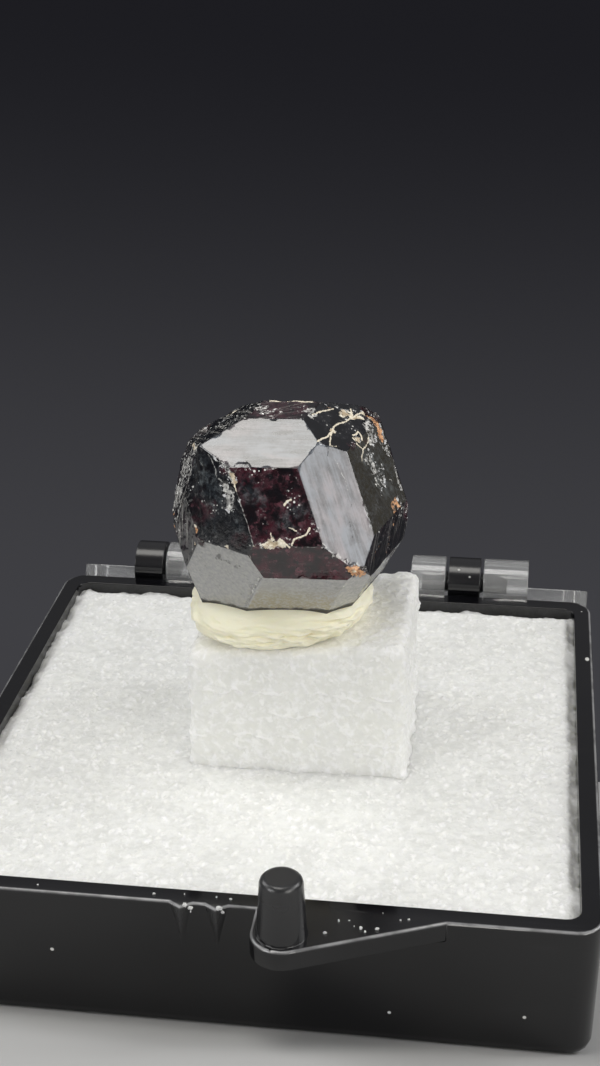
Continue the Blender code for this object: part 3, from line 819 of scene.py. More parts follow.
def foam_relief(points, seed, cell, walls):
    """Height of the foam's face, 0 to 1: rounded grains, with cell walls mixed in."""
    near, second = cells(points, cell, seed)
    wall = ramp(second - near, 0.34, 0.02) * ramp(lumps(points, cell * 1.6, seed + 6), -0.3, 0.3)
    small, _ = cells(points, cell * 0.5, seed + 3)
    grain = rough(points, cell * 0.8, seed + 1) * 0.5 + 0.5
    height = walls * 0.45 * wall + (1 - walls) * 0.35 * ramp(near, 0.7, 0.1)
    return np.clip(height + 0.30 * ramp(small, 0.7, 0.1) + 0.45 * grain, 0, 1)


def finish_foam(piece, torn, *nodes):
    """Marks how torn the foam is, and takes it to the tray."""
    store(piece, "torn", np.full(len(piece.data.vertices), torn))
    smooth(piece, FOAM_SMOOTH_ANGLE)
    put_in_tray(piece)
    dress(piece, "tray", "white_foam", *nodes)


def make_foam_liner():
    """The sheet that fills the tray: a sawn face of small grains, a little worn at the walls."""
    half = BOX_SIDE / 2 - WALL - FOAM_PLAY
    low = -TRAY_HEIGHT + FLOOR_THICK + FOAM_PLAY
    liner = add_box("foam_sheet", (-half, -half, low), (half, half, LINER_TOP))
    edit(liner)
    subdivide(LINER_CUTS)
    select_faces(liner, lambda f: f.center.z > LINER_TOP - ON_PLANE)
    subdivide(LINER_CUTS)
    points = points_of(liner)
    on_top = points[:, 2] > LINER_TOP - ON_PLANE
    top = points[on_top]
    height = foam_relief(top, 1, LINER_CELL, 0.15)
    from_wall = half - np.abs(top[:, :2]).max(axis=1)
    top[:, 2] += (height - 0.6) * LINER_RELIEF + lumps(top, 3.0 * MM, 5) * 0.07 * MM
    scallop = 0.22 + 0.34 * lumps(top, 1.3 * MM, 8) + 0.18 * lumps(top, 0.5 * MM, 9)
    top[:, 2] -= ramp(from_wall, 0.60 * MM, 0.0) * scallop * MM
    points[on_top] = top
    set_points(liner, points)
    finish_foam(liner, SAWN, "foam_liner")


def make_foam_block():
    """Cut from the same foam and torn off: rounded edges, ragged rows, a flared foot."""
    base = LINER_TOP - BLOCK_SUNK
    block = add_box("foam_stand", (*BLOCK_MIN, base), (*BLOCK_MAX, BLOCK_TOP))
    edit(block)
    subdivide(BLOCK_CUTS, 2)
    points = points_of(block)
    low = np.array([*BLOCK_MIN, base - 1 * MM]) + BLOCK_ROUNDING
    high = np.array([*BLOCK_MAX, BLOCK_TOP]) - BLOCK_ROUNDING
    core = np.clip(points, low, high)
    outward = (points - core) / np.linalg.norm(points - core, axis=1)[:, None]
    points = core + outward * BLOCK_ROUNDING
    middle, halves = (low + high) / 2, (high - low) / 2 + BLOCK_ROUNDING
    across = ((points - middle) / halves)[:, :2]

    # the slope of the top, the grain of every side, and the ragged rim of the top
    rise = ramp(points[:, 2], base, BLOCK_TOP)
    points[:, 2] += rise * BLOCK_TOP_SLOPE * points[:, 0]
    height = foam_relief(points, 2, BLOCK_CELL, 0.7)
    torn = ramp(points[:, 2], BLOCK_TOP - 0.9 * MM, BLOCK_TOP + 0.4 * MM)
    rim = ramp(np.abs(across).max(axis=1), 0.72, 0.98) * torn
    out = (height - 0.5) * BLOCK_RELIEF + lumps(points, 2.2 * MM, 3) * 0.12 * MM
    out += rim * rough(points, 0.9 * MM, 4) * 0.12 * MM

    # rows where it tore, one above the other, and the foot pressed out on the liner
    rows = np.zeros(len(points))
    upright = points * (1, 1, 0.2)
    for level, seed in ROWS:
        row = base + level * (BLOCK_TOP - base) + rough(upright, 1.1 * MM, seed) * 0.35 * MM
        layer = ramp(np.abs(points[:, 2] - row), 0.16 * MM, 0.0)
        layer = layer * ramp(lumps(upright, 1.6 * MM, seed + 5), -0.25, 0.25)
        out += layer * 0.11 * MM
        rows = np.maximum(rows, layer)
    points += outward * out[:, None]
    flare = ramp(points[:, 2], base + 0.7 * MM, base) * 0.15 * MM
    flare *= 1 + 1.6 * lumps(points, 0.9 * MM, 7)
    points[:, :2] += np.sign(across) * (np.abs(across) > 0.9) * flare[:, None]
    set_points(block, points)
    store(block, "row", rows)
    finish_foam(block, TORN, "foam_block")


# ---------------------------------------------------------------- garnet

def faces_of_form(a, b, c):
    """Every face of a crystal form: all orders and signs of its three indices."""
    found = set()
    for order in ((a, b, c), (b, c, a), (c, a, b), (a, c, b), (c, b, a), (b, a, c)):
        for signs in range(8):
            found.add(tuple(n * (-1 if signs >> i & 1 else 1) for i, n in enumerate(order)))
    return sorted(found)


GARNET_FACES = faces_of_form(1, 1, 0) + faces_of_form(2, 1, 1)
FACE_NORMALS = np.array([GARNET_TURN.to_matrix() @ Vector(f).normalized() for f in GARNET_FACES])
FACE_REACH = np.array([FACE_DISTANCES.get(f, COMMON_DISTANCE) for f in GARNET_FACES])

# Lines on the crystal: kind, half width in mm, points in mm in the tray's frame.
# vein: a crack healed with cream mineral; pale: a light scratch; hair: a dark one
LINES = (
    ("vein", 0.060, ((1.79, -2.34, 16.75), (1.97, -1.97, 16.75), (2.17, -1.58, 16.73),
                     (2.32, -1.07, 16.76), (2.33, -0.69, 16.84), (2.46, -0.38, 16.85),
                     (2.87, 0.29, 16.78), (3.07, 0.87, 16.80), (3.29, 1.31, 16.79),
                     (3.52, 1.78, 16.77))),
    ("vein", 0.045, ((2.95, 1.42, 16.99), (3.02, 1.18, 16.90), (3.07, 0.87, 16.80))),
    ("vein", 0.040, ((2.33, -1.18, 16.74), (2.30, -1.54, 16.66), (2.31, -2.20, 16.50))),
    ("vein", 0.035, ((2.35, -2.18, 16.49), (2.64, -1.99, 16.38))),
    ("vein", 0.050, ((1.30, -0.55, 17.42), (1.49, -0.30, 17.39), (1.83, 0.20, 17.32),
                     (2.17, 0.70, 17.25))),
    ("vein", 0.075, ((-0.86, 0.67, 17.53), (-0.42, 0.67, 17.56), (0.07, 0.67, 17.58),
                     (0.55, 0.72, 17.55), (1.14, 0.64, 17.55))),
    ("vein", 0.050, ((3.29, -0.69, 16.32), (3.48, -0.90, 16.13), (3.73, -0.75, 15.80))),
    ("vein", 0.045, ((3.97, 0.33, 16.02), (3.94, -0.09, 15.84), (3.78, -0.67, 15.77))),
    ("vein", 0.060, ((3.28, -0.52, 16.37), (3.44, 0.00, 16.40), (3.58, -0.10, 16.30),
                     (3.68, -0.34, 16.12))),
    ("vein", 0.042, ((3.76, -0.69, 15.78), (3.77, -1.30, 15.42))),
    ("vein", 0.060, ((0.51, -4.48, 14.32), (0.61, -4.39, 14.49), (0.79, -4.34, 14.57))),
    ("vein", 0.042, ((0.77, -4.94, 13.38), (0.94, -4.95, 13.35), (1.14, -4.99, 13.25))),
    ("vein", 0.050, ((0.91, -5.28, 12.69), (1.05, -5.15, 12.93), (1.31, -5.10, 13.02),
                     (1.56, -5.04, 13.13), (1.75, -4.90, 13.39))),
    ("vein", 0.040, ((0.38, -5.19, 12.91), (0.58, -5.25, 12.77), (0.81, -5.32, 12.59))),
    ("vein", 0.028, ((-0.11, -4.98, 13.35), (0.00, -5.16, 12.99))),
    ("vein", 0.040, ((-2.05, -4.01, 15.38), (-1.91, -4.15, 15.14), (-1.76, -4.31, 14.81))),
    ("pale", 0.024, ((-1.76, -4.31, 14.81), (-1.64, -4.43, 14.55), (-1.55, -4.56, 14.27),
                     (-1.21, -4.92, 13.54), (-1.09, -5.08, 13.22), (-0.85, -5.37, 12.58))),
    ("vein", 0.030, ((-0.85, -5.37, 12.58), (-0.69, -5.37, 12.50), (-0.30, -5.35, 12.62))),
    ("pale", 0.030, ((-3.30, -3.16, 16.18), (-3.07, -3.35, 15.91), (-2.88, -3.53, 15.62),
                     (-2.81, -3.66, 15.23), (-2.52, -3.85, 15.10))),
    ("pale", 0.028, ((-2.97, -3.39, 15.96), (-2.56, -3.59, 15.98), (-2.36, -3.79, 15.64),
                     (-2.18, -3.94, 15.39), (-1.96, -4.12, 15.12))),
    ("pale", 0.016, ((-3.65, -3.10, 15.75), (-3.40, -3.34, 15.35))),
    ("pale", 0.016, ((-4.00, -2.45, 16.14), (-3.99, -2.95, 15.65), (-4.04, -3.12, 14.95))),
    ("pale", 0.014, ((-1.06, -5.37, 12.16), (-0.92, -5.31, 11.69), (-0.68, -5.21, 11.13),
                     (-0.55, -5.12, 10.76))),
    ("pale", 0.012, ((1.05, -5.31, 12.61), (1.56, -5.29, 12.63), (2.10, -5.26, 12.65))),
    ("pale", 0.020, ((2.59, -2.46, 15.97), (2.83, -2.62, 15.56), (3.10, -2.78, 15.12),
                     (3.35, -3.05, 14.55))),
    ("pale", 0.030, ((-5.20, 1.10, 14.20), (-5.45, 0.40, 13.00), (-5.60, -0.30, 11.95))),
    ("pale", 0.028, ((-4.81, -0.41, 14.95), (-4.85, -1.09, 14.34), (-4.95, -1.88, 13.30))),
    ("pale", 0.035, ((4.97, -0.13, 14.10), (5.10, 0.05, 13.98), (5.16, -0.06, 13.82))),
    ("hair", 0.014, ((2.28, -2.28, 16.48), (2.27, -2.49, 16.23), (2.29, -2.67, 15.98))),
    ("hair", 0.010, ((1.87, -2.50, 16.57), (1.86, -2.66, 16.38), (2.13, -2.69, 16.11))),
    ("hair", 0.010, ((3.29, -3.33, 14.26), (3.49, -3.19, 14.26), (3.54, -3.38, 13.98),
                     (3.36, -3.69, 13.75), (3.29, -3.33, 14.26))),
    ("hair", 0.008, ((3.45, -3.85, 13.47), (3.63, -4.20, 12.87), (3.91, -4.55, 12.17))),
)

# Patches: what is there, reach in mm, strength, middle line in mm in the tray's frame
PATCHES = (
    # the upper face with the net of healed cracks
    ("cream", 0.28, 1.00, ((2.33, -0.95, 16.80),)),
    ("cream", 0.24, 0.95, ((3.07, 0.87, 16.80), (3.33, 1.14, 16.72), (3.58, 1.26, 16.62))),
    ("cream", 0.26, 0.85, ((2.62, 0.53, 16.97), (2.69, 0.92, 17.02), (2.98, 1.16, 16.92))),
    ("rust", 0.24, 0.70, ((2.80, 0.80, 16.95),)),
    ("frost", 0.48, 0.90, ((1.20, -0.20, 17.50), (1.25, -0.60, 17.40))),
    ("rust", 0.30, 0.70, ((1.90, 0.65, 17.32),)),
    # the chip on its right edge and the crust behind
    ("cream", 0.34, 0.90, ((3.50, -0.55, 16.22),)),
    ("red", 0.26, 1.00, ((3.84, -0.16, 15.97),)),
    ("frost", 0.62, 0.90, ((3.83, 1.02, 16.43), (3.97, 0.61, 16.18), (4.08, 0.48, 15.92))),
    ("cream", 0.32, 0.80, ((3.62, 1.67, 16.69), (3.90, 1.86, 16.58))),
    ("red", 0.30, 1.00, ((3.78, 1.60, 16.60),)),
    ("rust", 0.34, 1.00, ((3.97, 2.11, 16.60), (4.21, 1.65, 16.36), (4.38, 1.45, 15.98),
                          (4.46, 1.20, 15.71))),
    # the right face
    ("frost", 0.80, 0.80, ((4.10, -0.65, 15.24), (4.42, -0.54, 14.77), (4.59, -0.95, 14.25))),
    ("veil", 1.50, 0.80, ((4.10, -0.65, 15.24), (4.70, -0.50, 14.20))),
    ("frost", 0.42, 0.80, ((4.57, 1.08, 15.45), (4.78, 1.01, 15.07))),
    ("frost", 0.16, 0.85, ((5.20, 0.88, 14.30), (5.38, 0.60, 13.85), (5.56, 0.30, 13.38))),
    ("rust", 0.46, 0.85, ((5.44, -0.61, 13.04), (5.35, -1.00, 12.90))),
    ("cream", 0.18, 0.80, ((5.47, -0.80, 12.95),)),
    # the middle face
    ("cream", 0.36, 0.95, ((-0.22, -5.34, 12.65), (0.12, -5.30, 12.70), (0.44, -5.28, 12.72))),
    ("frost", 0.50, 0.70, ((-0.50, -5.36, 12.58), (0.70, -5.26, 12.75))),
    ("rust", 0.34, 0.50, ((0.70, -4.02, 15.22),)),
    ("veil", 0.75, 0.90, ((-1.25, -4.20, 14.99), (-0.79, -4.47, 14.42))),
    ("veil", 0.80, 0.85, ((1.24, -4.57, 14.07), (0.60, -4.85, 13.60))),
    ("cream", 0.13, 0.80, ((-0.28, -5.28, 11.15),)),
    ("frost", 0.15, 0.90, ((1.87, -4.75, 13.68),)),
    ("frost", 0.17, 0.90, ((2.03, -4.91, 13.35),)),
    ("frost", 0.18, 0.90, ((2.36, -5.20, 12.64),)),
    ("frost", 0.14, 0.90, ((2.86, -5.21, 12.21),)),
    ("frost", 0.14, 0.90, ((3.38, -5.07, 11.90),)),
    # the broken strip left of it
    ("frost", 0.42, 0.95, ((-2.36, -3.98, 14.95), (-2.15, -4.17, 14.58), (-2.09, -4.35, 14.05))),
    ("frost", 0.30, 0.85, ((-2.45, -3.60, 15.90), (-2.00, -4.05, 15.30))),
    ("cream", 0.20, 0.95, ((-2.05, -3.98, 15.50), (-1.93, -4.12, 15.18))),
    ("red", 0.30, 1.00, ((-2.50, -3.74, 15.60),)),
    ("frost", 0.40, 0.70, ((-1.90, -3.74, 15.88), (-1.40, -3.72, 15.86))),
    # the left face
    ("veil", 1.05, 1.00, ((-3.55, -3.25, 15.30), (-3.26, -3.50, 15.00), (-2.85, -3.85, 14.40))),
    ("red", 1.00, 0.55, ((-3.65, -3.70, 13.52),)),
    ("red", 0.55, 0.60, ((-1.53, -5.00, 12.68),)),
    ("cream", 0.13, 1.00, ((-2.21, -4.78, 12.22),)),
    ("veil", 0.55, 0.80, ((-3.05, -4.16, 12.93),)),
    ("veil", 0.50, 0.80, ((-1.66, -4.78, 13.24),)),
    ("rust", 0.17, 0.90, ((-3.92, -3.78, 12.71), (-3.84, -3.87, 12.39))),
    ("cream", 0.15, 0.95, ((-3.92, -3.78, 12.71),)),
    ("cream", 0.14, 0.85, ((-3.98, -3.63, 11.71),)),
    ("cream", 0.30, 0.85, ((-4.20, -2.20, 16.15), (-4.45, -0.90, 15.75))),
    ("rust", 0.34, 0.85, ((-5.62, -0.72, 11.84), (-5.40, -2.15, 11.74))),
    ("frost", 0.34, 0.75, ((-4.41, -3.05, 14.19), (-4.28, -3.30, 13.70))),
    # the top
    ("cream", 0.22, 1.00, ((-3.30, 2.10, 16.20), (-2.90, 2.30, 16.45))),
    ("frost", 0.50, 0.90, ((-1.25, -0.13, 17.46), (-0.90, -0.50, 17.46))),
    ("frost", 0.34, 0.80, ((-0.20, -0.56, 17.46),)),
    ("frost", 0.16, 0.90, ((-1.18, -0.79, 17.44), (-0.60, -1.09, 17.43))),
    # the lower faces
    ("dark", 0.45, 1.00, ((-2.74, -4.24, 11.38), (-2.22, -4.49, 11.31), (-1.61, -4.68, 11.02))),
    ("dark", 0.22, 1.00, ((-3.20, -2.70, 8.60),)),
    ("dark", 0.11, 1.00, ((3.32, -3.81, 9.47),)),
    ("dark", 0.10, 1.00, ((2.95, -3.88, 9.24),)),
    ("dark", 0.10, 1.00, ((3.57, -4.79, 10.67),)),
    ("frost", 0.12, 0.85, ((-0.59, -5.13, 10.83), (-1.04, -4.50, 9.86), (-1.54, -3.74, 8.65))),
    ("rust", 0.44, 1.00, ((3.74, -5.13, 11.51), (4.02, -5.09, 11.35), (4.24, -4.55, 10.95))),
    ("cream", 0.18, 0.80, ((3.85, -5.12, 11.45),)),
    ("rust", 0.36, 0.60, ((5.42, -1.10, 12.57), (5.22, -1.75, 11.68), (5.12, -1.98, 11.14))),
    ("rust", 0.30, 0.55, ((4.85, -2.90, 11.90), (4.60, -3.60, 11.55))),
)

# Hollows left by chips: middle and radii in mm, in the tray's frame
CHIPS = (
    ((4.75, -5.20, 11.20), (0.85, 0.70, 0.75)),
    ((0.35, -5.85, 12.75), (0.95, 0.66, 0.40)),
    ((4.45, 2.05, 17.10), (0.95, 1.30, 1.00)),
    ((3.75, -1.55, 16.55), (0.60, 0.95, 0.62)),
    ((-3.85, -4.60, 12.05), (0.62, 0.62, 0.55)),
    ((-4.60, 0.95, 15.75), (0.70, 0.95, 0.50)),
    ((6.25, 0.55, 12.35), (0.55, 0.85, 0.75)),
    ((1.90, 5.95, 16.10), (1.50, 1.35, 0.90)),
)

# How each face looks: how strong each look is, and in the last column how deep its relief
# is, mm. Faces that aren't named are like OTHER_FACES
LOOKS = ("red", "haze_and_reflection", "warm", "film", "frost", "dull", "veil", "sparkle", "streaky",
         "relief")
FACE_LOOKS = {
    (2, 1, 1):   (0.00, 0.00, 0.00, 0.50, 0.00, 0.00, 0.00, 0.00, 0.00, 0.000),
    (1, 2, 1):   (0.00, 0.00, 0.00, 0.72, 0.00, 0.05, 0.00, 0.00, 0.00, 0.002),
    (1, 1, 0):   (0.75, 0.00, 0.00, 0.00, 0.12, 0.18, 0.15, 0.60, 0.00, 0.004),
    (1, 2, -1):  (0.85, 0.00, 0.00, 0.00, 0.00, 0.10, 0.00, 0.25, 0.05, 0.002),
    (2, 1, -1):  (0.00, 0.00, 0.00, 0.00, 0.15, 0.15, 0.10, 0.50, 0.04, 0.005),
    (1, 1, -2):  (0.00, 0.92, 0.00, 0.00, 0.00, 0.20, 0.12, 0.00, 0.00, 0.004),
    (0, 1, -1):  (0.00, 0.92, 0.00, 0.00, 0.00, 0.15, 0.12, 0.00, 0.00, 0.003),
    (-1, 2, -1): (0.00, 1.00, 0.00, 0.00, 0.00, 0.10, 0.12, 0.00, 0.00, 0.003),
    (0, 1, 1):   (0.00, 0.13, 0.85, 0.00, 0.12, 0.15, 0.12, 0.34, 0.03, 0.006),
    (1, 1, 2):   (0.00, 0.00, 0.00, 0.00, 0.05, 0.05, 0.00, 0.50, 0.00, 0.004),
    (1, 0, 1):   (0.50, 0.00, 0.00, 0.00, 0.50, 0.35, 0.10, 0.70, 0.15, 0.035),
    (2, -1, 1):  (0.00, 0.00, 0.00, 0.00, 0.68, 0.50, 0.10, 1.00, 0.40, 0.050),
    (2, -1, -1): (0.10, 0.00, 0.00, 0.00, 0.84, 0.45, 0.12, 1.00, 0.85, 0.045),
    (1, 0, -1):  (0.15, 0.00, 0.00, 0.00, 0.52, 0.25, 0.12, 0.60, 0.30, 0.012),
    (-1, 2, 1):  (0.10, 0.00, 0.00, 0.00, 0.20, 0.20, 0.12, 0.60, 0.22, 0.010),
    (-1, 1, 2):  (0.15, 0.00, 0.00, 0.00, 0.10, 0.50, 0.12, 0.50, 0.12, 0.040),
}
OTHER_FACES = (0.30, 0.00, 0.00, 0.00, 0.10, 0.40, 0.12, 0.50, 0.12, 0.022)

# The way the growth lines run on a face, in the tray's frame
FACE_GRAIN = {
    (2, 1, 1): (1.0, 0.05, 0.0),
    (1, 2, 1): (0.364, -0.407, -0.837),
    (1, 2, -1): (1.0, 0.0, 0.0),
    (2, -1, -1): (-0.36, -0.16, -0.92),
    (2, 1, -1): (0.1, -0.4, -0.9),
    (1, 1, -2): (-0.6, -0.3, 0.75),
    (0, 1, 1): (0.6, -0.2, -0.8),
    (-1, 2, 1): (0.6, 0.2, 0.75),
    (1, 0, -1): (-0.2, 0.1, -1.0),
}
# The way the growth lines run on every other face
COMMON_GRAIN = (0.3, 0.2, -0.93)

# Wanted mesh size on the garnet, mm
MESH_ROUGH, MESH_SMOOTH, MESH_HIDDEN = 0.120, 0.26, 0.20
MESH_EDGE, MESH_EDGE_HIDDEN = 0.10, 0.16
MESH_LINE, MESH_PATCH = 0.062, 0.105
EDGE_BAND, LINE_BAND = 0.12, 0.07      # how far the finer mesh reaches from an edge or a line
ROUGH_RELIEF = 0.0045          # a face with deeper relief than this needs the finer mesh
MESH_PASSES = 11

# The block that the garnet is cut from, and its worn edges, mm
UNCUT_SIZE = 20
CORNERS_MERGE = 0.02
CUT_EDGE_ROUNDING = 0.030
GARNET_SMOOTH_ANGLE = 28       # degrees


def face_values(look):
    """The value of one look on every face, in the order of GARNET_FACES."""
    column = LOOKS.index(look)
    return np.array([FACE_LOOKS.get(index, OTHER_FACES)[column] for index in GARNET_FACES])


SEEN_FACES = np.array([index in FACE_LOOKS for index in GARNET_FACES])


def cut_garnet():
    """A block cut by every face of the two forms, in mm in the tray's frame."""
    bpy.ops.object.select_all(action="DESELECT")
    bpy.ops.mesh.primitive_cube_add(size=UNCUT_SIZE, location=GARNET_CENTRE)
    garnet = named("garnet")
    edit(garnet)
    for normal, reach in zip(FACE_NORMALS, FACE_REACH):
        bpy.ops.mesh.select_all(action="SELECT")
        bpy.ops.mesh.bisect(plane_co=GARNET_CENTRE + Vector(normal) * reach, plane_no=normal,
                            use_fill=True, clear_outer=True)
    bpy.ops.mesh.select_all(action="SELECT")
    bpy.ops.mesh.remove_doubles(threshold=CORNERS_MERGE)
    bpy.ops.mesh.bevel(
        offset=CUT_EDGE_ROUNDING, segments=2, affect="EDGES", clamp_overlap=True)
    bpy.ops.mesh.select_all(action="SELECT")
    bpy.ops.mesh.quads_convert_to_tris(ngon_method="BEAUTY")
    leave_edit()
    return garnet


def inside_faces(points):
    """The nearest face of each point, and its distance from the nearest edge, mm."""
    depth = FACE_REACH - (points - np.array(GARNET_CENTRE)) @ FACE_NORMALS.T
    face = depth.argmin(axis=1)
    lean = FACE_NORMALS[face] @ FACE_NORMALS.T
    sine = np.sqrt(np.clip(1 - lean ** 2, 1e-4, 1))
    to_edge = (depth - depth.min(axis=1)[:, None]) / sine
    to_edge[np.arange(len(points)), face] = np.inf
    return face, to_edge.min(axis=1)


def longest_edge(points):
    """Wanted mesh size, mm: fine at edges, lines, patches and rough faces."""
    face, to_edge = inside_faces(points)
    seen = SEEN_FACES[face]
    rough_face = face_values("relief")[face] > ROUGH_RELIEF
    size = np.where(seen, np.where(rough_face, MESH_ROUGH, MESH_SMOOTH), MESH_HIDDEN)
    at_edge = np.where(seen, MESH_EDGE, MESH_EDGE_HIDDEN)
    size = np.where(to_edge < EDGE_BAND, np.minimum(size, at_edge), size)
    for _, width, line in LINES:
        near = to_line(points, line) < width + LINE_BAND
        size = np.where(near, np.minimum(size, MESH_LINE), size)
    for _, reach, _, line in PATCHES:
        size = np.where(to_line(points, line) < reach, np.minimum(size, MESH_PATCH), size)
    return size


def grain_coords(points, face):
    """Coordinates that run along and across each face's growth lines, mm."""
    along = np.empty((len(GARNET_FACES), 3))
    for number, index in enumerate(GARNET_FACES):
        way = Vector(FACE_GRAIN.get(index, COMMON_GRAIN))
        normal = Vector(FACE_NORMALS[number])
        along[number] = (way - normal * way.dot(normal)).normalized()
    across = np.cross(FACE_NORMALS, along)
    u = (points * along[face]).sum(axis=1)
    v = (points * across[face]).sum(axis=1)
    return np.stack([u, v, face * 3.0], axis=1)


def chip_away(points):
    """Moves what lies inside a chip's rough hollow out to the hollow's wall."""
    hit = np.zeros(len(points))
    for number, (spot, radii) in enumerate(CHIPS):
        away = (points - np.array(spot)) / np.array(radii)
        far = np.linalg.norm(away, axis=1)
        close = far < 1.5
        way = away[close] / np.maximum(far[close], 1e-6)[:, None]
        wall = 1 + 0.22 * rough(way * 1.3, 1.0, number + 20) + 0.05 * lumps(way, 0.16, number + 30)
        inside = far[close] < wall
        pushed = points[close]
        pushed[inside] = (way * wall[:, None] * np.array(radii) + np.array(spot))[inside]
        points[close] = pushed
        mark = np.zeros(len(points))
        mark[close] = ramp(far[close] - wall, 0.10, 0.0)
        hit = np.maximum(hit, mark)
    return hit


def make_garnet():
    """The crystal: cut by its faces, roughened, chipped, and marked for its finish. All in mm."""
    garnet = cut_garnet()
    refine(garnet, longest_edge, MESH_PASSES)
    points = points_of(garnet)
    face, to_edge = inside_faces(points)
    seen = SEEN_FACES[face]
    grain = grain_coords(points, face)
    looks = {name: face_values(name)[face] for name in LOOKS}
    relief = looks.pop("relief")
    looks.update({name: np.zeros(len(points)) for name in ("cream", "rust", "dark")})

    def raise_look(name, values):
        looks[name] = np.maximum(looks[name], values)

    # patches and lines, on a path that wanders a little
    looks["frost"] = looks["frost"] * ramp(rough(points, 1.3, 19), -0.7, 0.1)
    wander = lumps_3d(points, 0.35, (11, 12, 13)) * 0.05
    wander += lumps_3d(points, 0.11, (51, 52, 53)) * 0.022
    blotch = rough(points, 0.34, 15, 5)
    for name, reach, strength, line in PATCHES:
        near = ramp(to_line(points + wander, line) / reach + 0.40 * blotch, 1.0, 0.30)
        raise_look(name, near * strength)
    to_kind = {kind: np.full(len(points), 1.0) for kind in ("vein", "pale", "hair")}
    for kind, width, line in LINES:
        to_kind[kind] = np.minimum(to_kind[kind], to_line(points + wander, line) - 0.8 * width)
    low_front = face == GARNET_FACES.index((0, 1, -1))
    raise_look("warm", ramp(points[:, 2], 10.6, 9.0) * low_front * 0.9)
    looks["veil"] = looks["veil"] * ramp(blotch, -0.5, 0.3)
    looks["sparkle"] = looks["sparkle"] * ramp(rough(points, 1.0, 18), -0.5, 0.2)

    # painted contact shade where it stands in the putty: a thin darker band above the contact
    to_putty = (points - np.array(PUTTY_CENTRE) / MM) / (np.array(PUTTY_RADII) / MM)
    to_putty[:, 2] -= BLOCK_TOP_SLOPE * points[:, 0] * MM / PUTTY_RADII[2]
    clear = np.linalg.norm(to_putty, axis=1) - 1 + 0.05 * blotch
    raise_look("dark", 2 * ramp(clear, 0.27, 0.15))

    # the rough faces: steps of growth, ridges along the grain, broken edges
    plates = np.round(rough(grain * (0.5, 1.0, 1.0), 0.9, 2, 2) * 2.5) / 2.5
    ridges = 1 - 2 * np.abs(lumps(grain * (0.12, 1.0, 1.0), 0.22, 3))
    wear_and_highlight = ramp(to_edge, 0.14, 0.0) * ramp(lumps(points, 0.55, 6), 0.10, 0.55)
    wear_and_highlight *= np.where(relief > 0.02, 0.09, np.where(seen, 0.030, 0.10))
    broken = np.maximum.reduce([looks["frost"], looks["cream"], looks["rust"]])
    patchy = rough(points, 0.16, 14, 2) * 0.5 + 0.5
    depth = wear_and_highlight - relief * (0.9 * plates + 0.5 * ridges + 0.4 * blotch)
    depth += ramp(broken, 0.3, 0.9) * (0.025 + 0.05 * patchy)
    depth -= ramp(to_kind["vein"], 0.01, -0.03) * 0.02
    points = points - read_vertices(garnet, "normal") * depth[:, None]
    chipped = chip_away(points)

    edge_wear = ramp(to_edge, 0.09, 0.01) * ramp(rough(points, 0.45, 16, 5), 0.0, 0.40)
    raise_look("frost", edge_wear * np.where(relief > 0.009, 0.95, 0.62))
    raise_look("frost", chipped * 0.55 * patchy)
    looks["haze_and_reflection"] = looks["haze_and_reflection"] * (1 - chipped)
    looks["film"] = looks["film"] * (1 - chipped)
    raise_look("red", 0.6 * chipped)
    raise_look("dull", 0.8 * chipped)
    for name, values in {**looks, **to_kind, "grain": grain * MM}.items():
        store(garnet, name, values)
    set_points(garnet, points * MM)
    smooth(garnet, GARNET_SMOOTH_ANGLE)
    put_in_tray(garnet)
    dress(garnet, "tray", "garnet", "garnet_crystal")


# ---------------------------------------------------------------- putty

